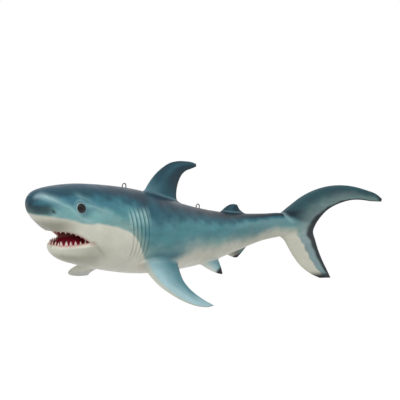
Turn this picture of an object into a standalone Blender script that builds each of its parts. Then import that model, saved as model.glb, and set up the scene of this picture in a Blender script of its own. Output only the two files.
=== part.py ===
"""Hanging shark figurine: one resin casting, two set-in glass eyes, two wire hanging loops.

Stations run along the fish: u is the distance back from a gauge plane 5 mm behind the tip of the
snout, v the distance to the fish's right and w the height above the axis, all in metres.
The trunk is straight along +X and the tail sweeps round to the fish's left. The origin of the
finished part is the point half way between the two hanging loops.
"""
import math

import bmesh
import bpy
import numpy as np

# Main sizes: snout to tail tip along the backbone, across the tips of the breast fins, and top of
# the back fin to the tip of the lower tail.
LENGTH = 0.778
SPAN = 0.345
HEIGHT = 0.2495
# The outlines below are drawn in units of this sheet and stretched to the main sizes.
SHEET_LENGTH = 778.0
SHEET_SPAN = 345.0
SHEET_HEIGHT = 249.5
ALONG = LENGTH / SHEET_LENGTH
ACROSS = SPAN / SHEET_SPAN
UPRIGHT = HEIGHT / SHEET_HEIGHT


def drawn(outline_points, *scales):
    """Drawing units to metres, one scale for each column."""
    return np.asarray(outline_points, float) * scales


# Path of the backbone: straight as far as BEND_START, then turning by BEND_ANGLE.
BEND_START = 382.0 * ALONG
BEND_END = 662.0 * ALONG
BEND_ANGLE = math.radians(45.0)
PATH_LEAD = 0.020
PATH_LENGTH = 800.0 * ALONG
PATH_STEPS = 800

# Trunk sections: u, top, bottom, half width, height of the widest line.
TRUNK = drawn((
    (-5.0, 73.0, 71.0, 1.0, 72.0),
    (-3.0, 82.0, 62.5, 10.5, 71.0),
    (1.0, 87.0, 55.0, 17.5, 69.0),
    (9.0, 91.8, 45.0, 26.0, 66.0),
    (23.0, 95.4, 31.5, 33.5, 60.0),
    (40.0, 97.0, 19.0, 40.0, 54.0),
    (62.0, 97.7, 1.0, 46.0, 44.0),
    (88.0, 97.0, -26.0, 52.5, 33.0),
    (125.0, 93.0, -50.0, 58.0, 26.0),
    (170.0, 86.0, -64.0, 62.0, 16.0),
    (220.0, 75.5, -74.0, 62.5, 6.0),
    (280.0, 56.5, -79.5, 59.0, -7.0),
    (340.0, 36.5, -80.5, 51.0, -18.0),
    (410.0, 18.0, -77.0, 42.0, -25.0),
    (480.0, 5.0, -64.0, 31.0, -27.0),
    (535.0, 1.0, -51.0, 21.5, -24.0),
    (575.0, 0.5, -45.0, 14.5, -22.0),
    (605.0, -6.0, -39.0, 8.5, -22.5),
    (630.0, -20.0, -26.0, 2.0, -23.0),
), ALONG, UPRIGHT, UPRIGHT, ACROSS, UPRIGHT)
TRUNK_RINGS = 56
TRUNK_SIDES = 36
ROUNDNESS = 2.2
END_CROWDING = 0.45

# Lower jaw sections, in the same five columns; its back end is buried in the trunk.
JAW = drawn((
    (37.0, -3.0, -7.0, 2.0, -4.5),
    (40.0, 2.0, -13.0, 13.0, -4.0),
    (48.0, 4.5, -21.5, 23.5, -4.5),
    (62.0, 6.0, -30.0, 34.5, -5.0),
    (80.0, 7.0, -37.0, 44.5, -4.0),
    (105.0, 8.0, -45.0, 45.5, -4.0),
    (140.0, 10.0, -51.0, 39.0, -9.0),
    (170.0, 5.0, -48.0, 30.0, -15.0),
), ALONG, UPRIGHT, UPRIGHT, ACROSS, UPRIGHT)
JAW_RINGS = 16
JAW_SIDES = 28

# Gape of the mouth seen from the side: upper lip and lower lip, from the front to the corner.
# The wedge between them is cut right across the head, past the widest part of the trunk.
UPPER_LIP = drawn(((10.0, 25.0), (33.0, 24.8), (50.0, 22.8), (68.0, 15.0), (84.0, 4.0)), ALONG, UPRIGHT)
LOWER_LIP = drawn(((10.0, 1.0), (33.0, 0.5), (50.0, 0.0), (68.0, 1.0), (84.0, 3.4)), ALONG, UPRIGHT)
GAPE_STEPS = 12
CUT_OVERRUN = 0.003
GAPE_HALF_WIDTH = TRUNK[:, 3].max() + CUT_OVERRUN

# Hollow of the mouth and the tongue in it: centre u, w and half sizes.
MOUTH_CENTRE = drawn((82.0, 9.5), ALONG, UPRIGHT)
MOUTH_HALF_SIZE = drawn((39.0, 35.0, 21.5), ALONG, ACROSS, UPRIGHT)
TONGUE_CENTRE = drawn((82.0, -10.5), ALONG, UPRIGHT)
TONGUE_HALF_SIZE = drawn((26.0, 17.0, 8.0), ALONG, ACROSS, UPRIGHT)

# Teeth stand along a half ellipse in plan, on the rim of each jaw.
TEETH_BACK = 86.0 * ALONG
UPPER_ARCH = drawn((46.0, 38.5), ALONG, ACROSS)
LOWER_ARCH = drawn((44.5, 38.5), ALONG, ACROSS)
UPPER_TEETH = 16
LOWER_TEETH = 16
TEETH_SPREAD = math.radians(78.0)
TOOTH_RADIUS = 0.0024
UPPER_TOOTH_HEIGHT = 0.0045
LOWER_TOOTH_HEIGHT = 0.0062
TOOTH_ROOT = 0.0025
TOOTH_SIDES = 5
SIDE_TOOTH_SHARE = 0.55

# Gill slits: five curved cuts on each side, in front of the breast fin.
GILL_COUNT = 5
GILL_TOP = drawn((159.0, 57.0), ALONG, UPRIGHT)
GILL_BOTTOM = drawn((162.0, -40.0), ALONG, UPRIGHT)
GILL_PITCH = 9.0 * ALONG
GILL_BOW = 4.0 * ALONG
GILL_FAN = 0.15
GILL_STEP_DOWN = 0.0020
GILL_DEPTH = 0.0022
GILL_END_DEPTH = 0.35
GILL_WIDTH = 0.0013
GILL_FLOOR_SHARE = 0.3
GILL_STEPS = 6

# Eyes, nostrils and hanging loops.
EYE_PLACE = drawn((66.5, 62.5), ALONG, UPRIGHT)
EYE_RADIUS = 0.0095
EYE_SET_IN = 0.0065
FIT_GAP = 0.0003
NOSTRIL_PLACE = drawn((24.0, 57.5), ALONG, UPRIGHT)
NOSTRIL_HALF_SIZE = (0.0030, 0.0025, 0.0022)
LOOP_PLACES = drawn((196.0, 376.0), ALONG)
LOOP_RADIUS = 0.0040
WIRE_RADIUS = 0.0010
LOOP_RISE = 0.0030
LOOP_LEG = 0.0120
HOLE_OVERRUN = 0.0020

# Thickness of each fin at its root and at its tip, and the shape shared by all: how fast they thin
# out, how blunt their edges are, how full they are and how fast they fall to the trailing edge.
BACK_FIN_THICKNESS = (0.0150, 0.0030)
REAR_BACK_FIN_THICKNESS = (0.0080, 0.0022)
UNDER_FIN_THICKNESS = (0.0080, 0.0022)
UPPER_TAIL_THICKNESS = (0.0170, 0.0026)
LOWER_TAIL_THICKNESS = (0.0150, 0.0028)
BREAST_FIN_THICKNESS = (0.0200, 0.0034)
BELLY_FIN_THICKNESS = (0.0100, 0.0024)
FIN_THINNING = 1.6
FIN_EDGE = 0.08
FIN_FULLNESS = 1.9
FIN_FALL = 0.9
FIN_RINGS = 12
FIN_SIDES = 7

# Fins that stand in the middle plane: leading edge and trailing edge from root to tip (u, w).
BACK_FIN = (
    drawn(((236.0, 60.0), (250.0, 80.0), (269.0, 98.1), (286.0, 108.4), (306.0, 116.0), (326.0, 117.8),
          (346.0, 115.7), (362.0, 112.7), (373.0, 108.5)), ALONG, UPRIGHT),
    drawn(((330.0, 30.0), (321.0, 51.7), (322.0, 66.0), (327.0, 80.5), (336.0, 92.7), (346.0, 98.3),
          (357.0, 100.5), (373.0, 104.0)), ALONG, UPRIGHT),
    BACK_FIN_THICKNESS)
REAR_BACK_FIN = (
    drawn(((430.0, 6.0), (445.0, 18.5), (460.0, 24.4), (470.0, 24.7)), ALONG, UPRIGHT),
    drawn(((500.0, -4.0), (489.0, 7.5), (483.0, 12.8), (477.0, 22.7)), ALONG, UPRIGHT),
    REAR_BACK_FIN_THICKNESS)
UNDER_FIN = (
    drawn(((436.0, -60.0), (455.0, -74.0), (472.0, -81.2)), ALONG, UPRIGHT),
    drawn(((508.0, -50.0), (494.0, -67.0), (486.0, -74.5), (478.0, -81.2)), ALONG, UPRIGHT),
    UNDER_FIN_THICKNESS)
UPPER_TAIL = (
    drawn(((556.0, -10.0), (574.0, 3.1), (589.0, 15.1), (614.0, 33.6), (640.0, 46.5), (665.0, 53.4),
          (689.0, 55.4), (715.0, 52.8), (740.0, 45.8), (761.5, 37.3), (773.0, 27.5)), ALONG, UPRIGHT),
    drawn(((612.0, -40.0), (637.0, -36.5), (642.0, -23.7), (651.0, -9.4), (666.0, 6.6), (690.0, 19.6),
          (715.0, 26.0), (731.0, 26.0), (749.0, 23.5), (772.0, 22.5)), ALONG, UPRIGHT),
    UPPER_TAIL_THICKNESS)
LOWER_TAIL = (
    drawn(((550.0, -28.0), (579.0, -53.8), (590.0, -73.2), (600.0, -89.6), (616.0, -109.1),
          (637.0, -124.5), (653.0, -131.7)), ALONG, UPRIGHT),
    drawn(((628.0, -15.0), (639.0, -36.5), (642.0, -54.6), (649.0, -76.8), (658.0, -98.3),
          (667.0, -116.6), (674.0, -131.4)), ALONG, UPRIGHT),
    LOWER_TAIL_THICKNESS)

# Paired fins: the same, with the distance out from the middle plane in place of w, then where the
# root line lies (out, w), how much the fin droops outward and how much it falls towards the tail,
# and the station from which that fall is measured.
BREAST_FIN = (
    drawn(((208.0, 30.0), (196.0, 48.0), (184.0, 70.0), (178.0, 90.0), (175.0, 115.0), (179.0, 136.0),
          (189.0, 155.0), (206.0, 168.0), (231.0, 172.5)), ALONG, ACROSS),
    drawn(((284.0, 30.0), (273.0, 54.0), (257.0, 77.0), (243.0, 100.0), (236.0, 123.0), (236.0, 139.0),
          (241.0, 156.0), (248.0, 169.0)), ALONG, ACROSS),
    BREAST_FIN_THICKNESS)
BREAST_FIN_ROOT = drawn((50.0, -46.0), ACROSS, UPRIGHT)
BREAST_FIN_DROOP = 0.45
BREAST_FIN_PITCH = 0.16
BREAST_FIN_LEVEL = 190.0 * ALONG
BELLY_FIN = (
    drawn(((336.0, 12.0), (350.0, 22.8), (361.0, 32.8), (374.0, 41.4), (391.0, 47.5)), ALONG, ACROSS),
    drawn(((414.0, 12.0), (408.0, 22.0), (402.0, 35.7), (395.0, 47.1)), ALONG, ACROSS),
    BELLY_FIN_THICKNESS)
BELLY_FIN_ROOT = drawn((20.0, -66.0), ACROSS, UPRIGHT)
BELLY_FIN_DROOP = 1.00
BELLY_FIN_PITCH = 0.06
BELLY_FIN_LEVEL = 360.0 * ALONG


def smooth_curve(keys, columns, at):
    """Values of some columns of keys at the places 'at' of its first column, on a smooth curve."""
    keys = np.asarray(keys, float)
    at = np.clip(np.asarray(at, float), keys[0, 0], keys[-1, 0])
    step = np.diff(keys[:, 0])
    index = np.clip(np.searchsorted(keys[:, 0], at, side="right") - 1, 0, len(step) - 1)
    t = (at - keys[index, 0]) / step[index]
    found = []
    for column in columns:
        value = keys[:, column]
        slope = np.diff(value) / step
        tangent = np.concatenate((slope[:1], np.zeros(len(slope) - 1), slope[-1:]))
        tangent[1:-1] = (slope[:-1] * step[1:] + slope[1:] * step[:-1]) / (step[1:] + step[:-1])
        reach = step[index]
        found.append((2 * t**3 - 3 * t**2 + 1) * value[index]
                     + (t**3 - 2 * t**2 + t) * reach * tangent[index]
                     + (3 * t**2 - 2 * t**3) * value[index + 1]
                     + (t**3 - t**2) * reach * tangent[index + 1])
    return np.stack(found, axis=-1)


def outline(points, count):
    """Evenly spread points along a smooth curve through a few outline points."""
    points = np.asarray(points, float)
    run = np.concatenate(([0.0], np.cumsum(np.linalg.norm(np.diff(points, axis=0), axis=1))))
    keys = np.column_stack((run, points))
    return smooth_curve(keys, (1, 2), np.linspace(0.0, run[-1], count))


def backbone():
    """Distances along the backbone with the place and heading it has there."""
    along = np.linspace(-PATH_LEAD, PATH_LENGTH, PATH_STEPS)
    share = np.clip((along - BEND_START) / (BEND_END - BEND_START), 0.0, 1.0)
    heading = BEND_ANGLE * share**2 * (3 - 2 * share)
    step = along[1] - along[0]
    x = along[0] + np.concatenate(([0.0], np.cumsum(np.cos(heading[:-1]) * step)))
    y = -np.concatenate(([0.0], np.cumsum(np.sin(heading[:-1]) * step)))
    return along, x, y, heading


def bent(points):
    """Points given straight (u, v, w) carried round the backbone, before the origin is moved."""
    points = np.asarray(points, float)
    along, x, y, heading = backbone()
    turn = np.interp(points[..., 0], along, heading)
    return np.stack((np.interp(points[..., 0], along, x) + points[..., 1] * np.sin(turn),
                     np.interp(points[..., 0], along, y) + points[..., 1] * np.cos(turn),
                     points[..., 2]), axis=-1)


def loop_centre(place):
    """Middle of a hanging loop's arch, straight coordinates."""
    top = smooth_curve(TRUNK, (1,), place)[0]
    return np.array((place, 0.0, top + LOOP_RISE))


def placed(points):
    """Straight coordinates to the frame of the part, origin half way between the loops."""
    centres = bent(np.stack([loop_centre(place) for place in LOOP_PLACES]))
    return bent(points) - centres.mean(axis=0)


def section(keys, u, sides):
    """Closed ring of a body section at u: a rounded oval, flatter or fuller above and below."""
    top, bottom, half, waist = smooth_curve(keys, (1, 2, 3, 4), u)
    angle = np.linspace(0.0, 2 * math.pi, sides, endpoint=False)
    power = 2.0 / ROUNDNESS
    across = half * np.sign(np.cos(angle)) * np.abs(np.cos(angle))**power
    rise = np.where(np.sin(angle) > 0, top - waist, waist - bottom)
    height = waist + rise * np.sign(np.sin(angle)) * np.abs(np.sin(angle))**power
    return np.stack((np.full(sides, u), across, height), axis=-1)


def side_of_trunk(u, w):
    """Half width of the trunk skin at a station and height."""
    top, bottom, half, waist = smooth_curve(TRUNK, (1, 2, 3, 4), u)
    reach = (top - waist) if w > waist else (waist - bottom)
    share = min(abs(w - waist) / reach, 1.0)
    return half * (1.0 - share**ROUNDNESS)**(1.0 / ROUNDNESS)


def lofted(rings):
    """Vertices and faces of a closed skin through rings of equal length, with flat ends."""
    rings = np.asarray(rings)
    count, sides = rings.shape[:2]
    faces = [tuple(reversed(range(sides))), tuple((count - 1) * sides + k for k in range(sides))]
    for i in range(count - 1):
        for k in range(sides):
            a = i * sides + k
            b = i * sides + (k + 1) % sides
            faces.append((a, b, b + sides, a + sides))
    return rings.reshape(-1, 3), faces


def body_loft(keys, rings, sides):
    """Skin through the sections of a table, stations closer together near its ends."""
    share = 0.5 - 0.5 * np.cos(np.linspace(0.0, math.pi, rings))
    even = np.linspace(0.0, 1.0, rings)
    stations = keys[0][0] + (keys[-1][0] - keys[0][0]) * (END_CROWDING * share + (1.0 - END_CROWDING) * even)
    return lofted([section(keys, u, sides) for u in stations])


def fin_rings(fin):
    """Sections of a fin in its own plane: chord place, span place and offset from the plane."""
    lead, trail, (root, tip) = fin
    lead = outline(lead, FIN_RINGS)
    trail = outline(trail, FIN_RINGS)
    share = np.linspace(0.0, 1.0, FIN_RINGS)
    thick = tip + (root - tip) * (1.0 - share)**FIN_THINNING
    chord = 0.5 - 0.5 * np.cos(np.linspace(0.0, math.pi, FIN_SIDES))
    shape = FIN_EDGE + FIN_FULLNESS * np.sqrt(chord) * (1.0 - chord)**FIN_FALL
    rings = []
    for a, b, t in zip(lead, trail, thick):
        line = a + (b - a) * chord[:, None]
        offset = 0.5 * t * np.minimum(shape, 1.0)
        near = np.column_stack((line, offset))
        far = np.column_stack((line, -offset))[::-1]
        rings.append(np.vstack((near, far)))
    return np.array(rings)


def middle_fin(fin):
    """A fin standing in the middle plane."""
    rings = fin_rings(fin)
    return lofted(np.stack((rings[..., 0], rings[..., 2], rings[..., 1]), axis=-1))


def paired_fin(fin, root, droop, pitch, level, side):
    """A fin on one side, drooping outward from its root line and falling towards the tail."""
    rings = fin_rings(fin)
    normal = np.array((pitch, droop, 1.0))
    normal /= np.linalg.norm(normal)
    height = root[1] - droop * (rings[..., 1] - root[0]) - pitch * (rings[..., 0] - level)
    points = np.stack((rings[..., 0], rings[..., 1], height), axis=-1) + rings[..., 2:] * normal
    return lofted(points * (1.0, side, 1.0))


def ball(centre, half_size, rings=10, sides=18):
    """Closed egg-shaped ball with the poles up and down."""
    angle = np.linspace(-0.5 * math.pi, 0.5 * math.pi, rings + 1)[1:-1]
    turn = np.linspace(0.0, 2 * math.pi, sides, endpoint=False)
    points = [(0.0, 0.0, -1.0), (0.0, 0.0, 1.0)]
    for a in angle:
        points.extend((math.cos(a) * math.cos(t), math.cos(a) * math.sin(t), math.sin(a)) for t in turn)
    last = 2 + (rings - 2) * sides
    faces = []
    for k in range(sides):
        n = (k + 1) % sides
        faces.append((0, 2 + n, 2 + k))
        faces.append((1, last + k, last + n))
        for i in range(rings - 2):
            a = 2 + i * sides
            faces.append((a + k, a + n, a + n + sides, a + k + sides))
    return np.array(centre) + np.array(points) * np.array(half_size), faces


def gape_wedge():
    """Wedge that parts the jaws: the outline between the lips, carried right across the head."""
    upper = outline(UPPER_LIP, GAPE_STEPS)
    lower = outline(LOWER_LIP, GAPE_STEPS)
    edge = np.vstack((lower, upper[::-1]))
    left = np.column_stack((edge[:, 0], np.full(len(edge), -GAPE_HALF_WIDTH), edge[:, 1]))
    right = np.column_stack((edge[:, 0], np.full(len(edge), GAPE_HALF_WIDTH), edge[:, 1]))
    return lofted(np.stack((left, right)))


def lip_height(lip, u):
    """Height of a lip at a station."""
    return smooth_curve(lip, (1,), u)[0]


def tooth(base, rise, height):
    """Small pointed tooth, its root sunk in the rim of the jaw."""
    turn = np.linspace(0.0, 2 * math.pi, TOOTH_SIDES, endpoint=False)
    foot = [(TOOTH_RADIUS * math.cos(t), TOOTH_RADIUS * math.sin(t), -TOOTH_ROOT * rise) for t in turn]
    points = np.array(foot + [(0.0, 0.0, height * rise)]) + np.array(base)
    faces = [tuple(reversed(range(TOOTH_SIDES)))]
    faces.extend((k, (k + 1) % TOOTH_SIDES, TOOTH_SIDES) for k in range(TOOTH_SIDES))
    return points, faces


def row_of_teeth(arch, count, lip, rise, height):
    """Teeth round one jaw, standing on the lip line."""
    pieces = []
    for angle in np.linspace(-TEETH_SPREAD, TEETH_SPREAD, count):
        u = TEETH_BACK - arch[0] * math.cos(angle)
        v = arch[1] * math.sin(angle)
        shorter = height * (SIDE_TOOTH_SHARE + (1.0 - SIDE_TOOTH_SHARE) * math.cos(angle))
        pieces.append(tooth((u, v, lip_height(lip, u)), rise, shorter))
    return pieces


def gill_blade(index, side):
    """Thin curved blade that cuts one gill slit to an even depth below the skin."""
    rings = []
    for share in np.linspace(0.0, 1.0, GILL_STEPS + 1):
        u = GILL_TOP[0] + (GILL_BOTTOM[0] - GILL_TOP[0]) * share + GILL_BOW * math.sin(math.pi * share)
        u += GILL_PITCH * index * (1.0 - GILL_FAN * share)
        w = GILL_TOP[1] + (GILL_BOTTOM[1] - GILL_TOP[1]) * share - GILL_STEP_DOWN * index * (1.0 - share)
        skin = side_of_trunk(u, w)
        depth = GILL_DEPTH * (GILL_END_DEPTH + (1.0 - GILL_END_DEPTH) * math.sin(math.pi * share))
        rings.append(((u - GILL_WIDTH, side * (skin + CUT_OVERRUN), w),
                      (u + GILL_WIDTH, side * (skin + CUT_OVERRUN), w),
                      (u + GILL_FLOOR_SHARE * GILL_WIDTH, side * (skin - depth), w),
                      (u - GILL_FLOOR_SHARE * GILL_WIDTH, side * (skin - depth), w)))
    return lofted(rings)


def joined(pieces):
    """Several separate closed pieces as one list of vertices and faces."""
    points = []
    faces = []
    start = 0
    for piece_points, piece_faces in pieces:
        points.append(np.asarray(piece_points, float))
        faces.extend(tuple(start + k for k in face) for face in piece_faces)
        start += len(piece_points)
    return np.vstack(points), faces


def material(name, colour, roughness, metallic):
    """Principled material with the colour and finish of a real one."""
    made = bpy.data.materials.new(name)
    made.use_nodes = True
    shader = made.node_tree.nodes["Principled BSDF"]
    shader.inputs["Base Color"].default_value = (*colour, 1.0)
    shader.inputs["Roughness"].default_value = roughness
    shader.inputs["Metallic"].default_value = metallic
    made.diffuse_color = (*colour, 1.0)
    return made


def make_object(name, shape, collection, finish=None, cutter=False):
    """Object from straight-coordinate vertices and faces, faces turned outward."""
    points, faces = shape
    mesh = bpy.data.meshes.new(name)
    mesh.from_pydata([tuple(p) for p in placed(points)], [], faces)
    work = bmesh.new()
    work.from_mesh(mesh)
    bmesh.ops.recalc_face_normals(work, faces=work.faces)
    work.to_mesh(mesh)
    work.free()
    made = bpy.data.objects.new(name, mesh)
    collection.objects.link(made)
    if finish is not None:
        mesh.materials.append(finish)
    if cutter:
        made.hide_render = True
        made.display_type = "WIRE"
    return made


def combine(target, tool, operation):
    """Exact Boolean of a tool object on the target."""
    step = target.modifiers.new(tool.name, "BOOLEAN")
    step.operation = operation
    step.solver = "EXACT"
    step.object = tool


def wire_loop(name, place, collection, finish):
    """Bent wire loop: two legs down into the casting and a round arch above the back."""
    centre = loop_centre(place)
    turn = np.linspace(0.0, math.pi, 13)
    arch = [(centre[0] + LOOP_RADIUS * math.cos(t), 0.0, centre[2] + LOOP_RADIUS * math.sin(t)) for t in turn]
    foot = centre[2] - LOOP_RISE - LOOP_LEG
    path = [(arch[0][0], 0.0, foot)] + arch + [(arch[-1][0], 0.0, foot)]
    curve = bpy.data.curves.new(name, "CURVE")
    curve.dimensions = "3D"
    curve.bevel_depth = WIRE_RADIUS
    curve.bevel_resolution = 2
    curve.use_fill_caps = True
    spline = curve.splines.new("POLY")
    spline.points.add(len(path) - 1)
    for point, where in zip(spline.points, placed(path)):
        point.co = (*where, 1.0)
    source = bpy.data.objects.new(name + "_path", curve)
    collection.objects.link(source)
    mesh = bpy.data.meshes.new_from_object(source.evaluated_get(bpy.context.evaluated_depsgraph_get()))
    mesh.transform(source.matrix_world)
    work = bmesh.new()
    work.from_mesh(mesh)
    bmesh.ops.remove_doubles(work, verts=work.verts, dist=0.00001)
    bmesh.ops.recalc_face_normals(work, faces=work.faces)
    work.to_mesh(mesh)
    work.free()
    bpy.data.objects.remove(source)
    made = bpy.data.objects.new(name, mesh)
    collection.objects.link(made)
    mesh.materials.clear()
    mesh.materials.append(finish)
    for face in mesh.polygons:
        face.use_smooth = True
    return made


def leg_holes():
    """Round holes that take the legs of the wire loops with a small gap."""
    pieces = []
    radius = WIRE_RADIUS + FIT_GAP
    turn = np.linspace(0.0, 2 * math.pi, 12, endpoint=False)
    for place in LOOP_PLACES:
        centre = loop_centre(place)
        for way in (-1.0, 1.0):
            u = place + way * LOOP_RADIUS
            low = centre[2] - LOOP_RISE - LOOP_LEG - FIT_GAP
            high = centre[2] + HOLE_OVERRUN
            rings = [[(u + radius * math.cos(t), radius * math.sin(t), w) for t in turn] for w in (low, high)]
            pieces.append(lofted(rings))
    return pieces


def build():
    """Make the parts in the collection named for the object, cutters in one of their own."""
    for old in list(bpy.data.objects):
        bpy.data.objects.remove(old)
    parts = bpy.data.collections.new("shark_figurine")
    tools = bpy.data.collections.new("cutters")
    bpy.context.scene.collection.children.link(parts)
    bpy.context.scene.collection.children.link(tools)
    paint = material("painted_resin", (0.060, 0.175, 0.215), 0.32, 0.0)
    glass = material("eye_glass", (0.012, 0.009, 0.008), 0.06, 0.0)
    steel = material("loop_wire", (0.30, 0.30, 0.29), 0.35, 1.0)

    body = make_object("body", body_loft(TRUNK, TRUNK_RINGS, TRUNK_SIDES), parts, paint)
    jaw = make_object("jaw", body_loft(JAW, JAW_RINGS, JAW_SIDES), tools, cutter=True)
    combine(body, jaw, "UNION")
    fins = [middle_fin(fin) for fin in (BACK_FIN, REAR_BACK_FIN, UNDER_FIN, UPPER_TAIL)]
    for side in (-1.0, 1.0):
        fins.append(paired_fin(BREAST_FIN, BREAST_FIN_ROOT, BREAST_FIN_DROOP, BREAST_FIN_PITCH,
                               BREAST_FIN_LEVEL, side))
        fins.append(paired_fin(BELLY_FIN, BELLY_FIN_ROOT, BELLY_FIN_DROOP, BELLY_FIN_PITCH,
                               BELLY_FIN_LEVEL, side))
    combine(body, make_object("fins", joined(fins), tools, cutter=True), "UNION")
    combine(body, make_object("lower_tail", middle_fin(LOWER_TAIL), tools, cutter=True), "UNION")
    combine(body, make_object("gape", gape_wedge(), tools, cutter=True), "DIFFERENCE")
    hollow = ball((MOUTH_CENTRE[0], 0.0, MOUTH_CENTRE[1]), MOUTH_HALF_SIZE)
    combine(body, make_object("mouth_hollow", hollow, tools, cutter=True), "DIFFERENCE")
    tongue = ball((TONGUE_CENTRE[0], 0.0, TONGUE_CENTRE[1]), TONGUE_HALF_SIZE, 8, 16)
    combine(body, make_object("tongue", tongue, tools, cutter=True), "UNION")
    teeth = row_of_teeth(UPPER_ARCH, UPPER_TEETH, UPPER_LIP, -1.0, UPPER_TOOTH_HEIGHT)
    teeth += row_of_teeth(LOWER_ARCH, LOWER_TEETH, LOWER_LIP, 1.0, LOWER_TOOTH_HEIGHT)
    combine(body, make_object("teeth", joined(teeth), tools, cutter=True), "UNION")
    slits = [gill_blade(index, side) for index in range(GILL_COUNT) for side in (-1.0, 1.0)]
    combine(body, make_object("gill_slits", joined(slits), tools, cutter=True), "DIFFERENCE")

    pits = leg_holes()
    for side, name in ((-1.0, "left_eye"), (1.0, "right_eye")):
        skin = side_of_trunk(*EYE_PLACE)
        centre = (EYE_PLACE[0], side * (skin - EYE_SET_IN), EYE_PLACE[1])
        eye = make_object(name, ball(centre, (EYE_RADIUS,) * 3), parts, glass)
        for face in eye.data.polygons:
            face.use_smooth = True
        pits.append(ball(centre, (EYE_RADIUS + FIT_GAP,) * 3))
        skin = side_of_trunk(*NOSTRIL_PLACE)
        pits.append(ball((NOSTRIL_PLACE[0], side * skin, NOSTRIL_PLACE[1]), NOSTRIL_HALF_SIZE, 6, 10))
    combine(body, make_object("pits", joined(pits), tools, cutter=True), "DIFFERENCE")
    for name, place in zip(("front_hanging_loop", "rear_hanging_loop"), LOOP_PLACES):
        wire_loop(name, place, parts, steel)


build()
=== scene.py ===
"""Dressed model of the hanging shark figurine: painted resin casting, glass eyes and wire loops.

Places along the fish are straight coordinates in metres: u runs back from a gauge plane 5 mm behind
the tip of the snout, v to the fish's right and w up. The spine carries them into the part's frame.
"""
import logging
import math
from dataclasses import dataclass
from enum import Enum

import bmesh
import bpy
import numpy as np
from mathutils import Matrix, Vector


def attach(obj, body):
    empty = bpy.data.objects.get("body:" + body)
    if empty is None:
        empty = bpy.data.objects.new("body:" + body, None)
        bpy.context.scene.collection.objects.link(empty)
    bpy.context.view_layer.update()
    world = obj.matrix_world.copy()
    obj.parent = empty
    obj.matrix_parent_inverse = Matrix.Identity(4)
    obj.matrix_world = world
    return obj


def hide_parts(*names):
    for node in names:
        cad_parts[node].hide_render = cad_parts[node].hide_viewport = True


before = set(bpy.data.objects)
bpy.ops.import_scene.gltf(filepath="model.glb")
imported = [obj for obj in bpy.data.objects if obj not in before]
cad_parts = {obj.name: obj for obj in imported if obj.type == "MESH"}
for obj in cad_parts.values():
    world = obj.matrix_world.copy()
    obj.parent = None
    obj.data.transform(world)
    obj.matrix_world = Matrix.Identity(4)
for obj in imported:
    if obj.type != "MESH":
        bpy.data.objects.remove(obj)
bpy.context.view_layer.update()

log = logging.getLogger("shark_figurine")
Array = np.ndarray
Colour = tuple[float, float, float]
Keys = tuple[tuple[float, ...], ...]


class Slot(Enum):
    """Finish slots of the record."""

    PAINT = "painted_resin"
    GLASS = "eye_glass"
    WIRE = "loop_wire"


class Side(Enum):
    """Side of the fish, with the sign that v has there."""

    LEFT = -1.0
    RIGHT = 1.0


def linear(colour: Colour) -> Array:
    """Scene-linear value of a display colour given in steps of 255."""
    share = np.asarray(colour, float) / 255.0
    return np.where(share <= 0.04045, share / 12.92, ((share + 0.055) / 1.055) ** 2.4)


def smooth_keys(keys: Keys, at: Array) -> Array:
    """Columns of a key table at given places of its first column.

    Formula: a cubic through the keys, whose slope at a key is the mean of the slopes of the two
    spans beside it, each weighted by the length of the other span.

    Args:
        keys: rows whose first column rises.
        at: places, of any shape.

    Returns:
        Array of the shape of at with one last axis for the other columns.
    """
    table = np.asarray(keys, float)
    at = np.clip(np.asarray(at, float), table[0, 0], table[-1, 0])
    step = np.diff(table[:, 0])
    index = np.clip(np.searchsorted(table[:, 0], at, side="right") - 1, 0, len(step) - 1)
    reach = step[index][..., None]
    t = (at[..., None] - table[index, :1]) / reach
    value = table[:, 1:]
    slope = np.diff(value, axis=0) / step[:, None]
    tangent = np.concatenate((slope[:1], np.zeros_like(slope[:-1]), slope[-1:]))
    weight = step[:, None]
    tangent[1:-1] = (slope[:-1] * weight[1:] + slope[1:] * weight[:-1]) / (weight[1:] + weight[:-1])
    return ((2 * t**3 - 3 * t**2 + 1) * value[index] + (t**3 - 2 * t**2 + t) * reach * tangent[index]
            + (3 * t**2 - 2 * t**3) * value[index + 1] + (t**3 - t**2) * reach * tangent[index + 1])


def even_outline(points: Keys, count: int) -> Array:
    """Points evenly spread by length along a smooth curve through a few outline points.

    Args:
        points: outline points.
        count: points wanted.

    Returns:
        Array of count points.
    """
    table = np.asarray(points, float)
    run = np.concatenate(([0.0], np.cumsum(np.linalg.norm(np.diff(table, axis=0), axis=1))))
    return smooth_keys(np.column_stack((run, table)), np.linspace(0.0, run[-1], count))


def even_rows(lines: Array, shares: Array) -> Array:
    """Each row of a stack of polylines cut again at the same shares of its own length.

    Formula: the running length of every row is scaled to one and set two units after the row
    before, so that one interpolation serves all rows.

    Args:
        lines: array of rows, points, coordinates.
        shares: rising shares from 0 to 1.

    Returns:
        Array of rows, shares, coordinates.
    """
    gaps = np.linalg.norm(np.diff(lines, axis=1), axis=2)
    run = np.concatenate((np.zeros((len(lines), 1)), np.cumsum(gaps, axis=1)), axis=1)
    run = run / np.maximum(run[:, -1:], 1e-12) + 1e-9 * np.linspace(0.0, 1.0, run.shape[1])
    shift = 2.0 * np.arange(len(lines))[:, None]
    place = (run + shift).ravel()
    wanted = shares[None, :] * run[:, -1:] + shift
    return np.stack([np.interp(wanted, place, lines[..., k].ravel()) for k in range(lines.shape[2])], axis=-1)


def smooth_max(a: Array, b: Array, blend: float | Array) -> Array:
    """Larger of two values, rounded where they are within the blend of each other.

    Args:
        a: first values.
        b: second values.
        blend: distance within which they melt.

    Returns:
        Array of the larger values.
    """
    blend = np.maximum(blend, 1e-9)
    near = np.maximum(blend - np.abs(a - b), 0.0) / blend
    return np.maximum(a, b) + near**2 * blend / 4.0


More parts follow.
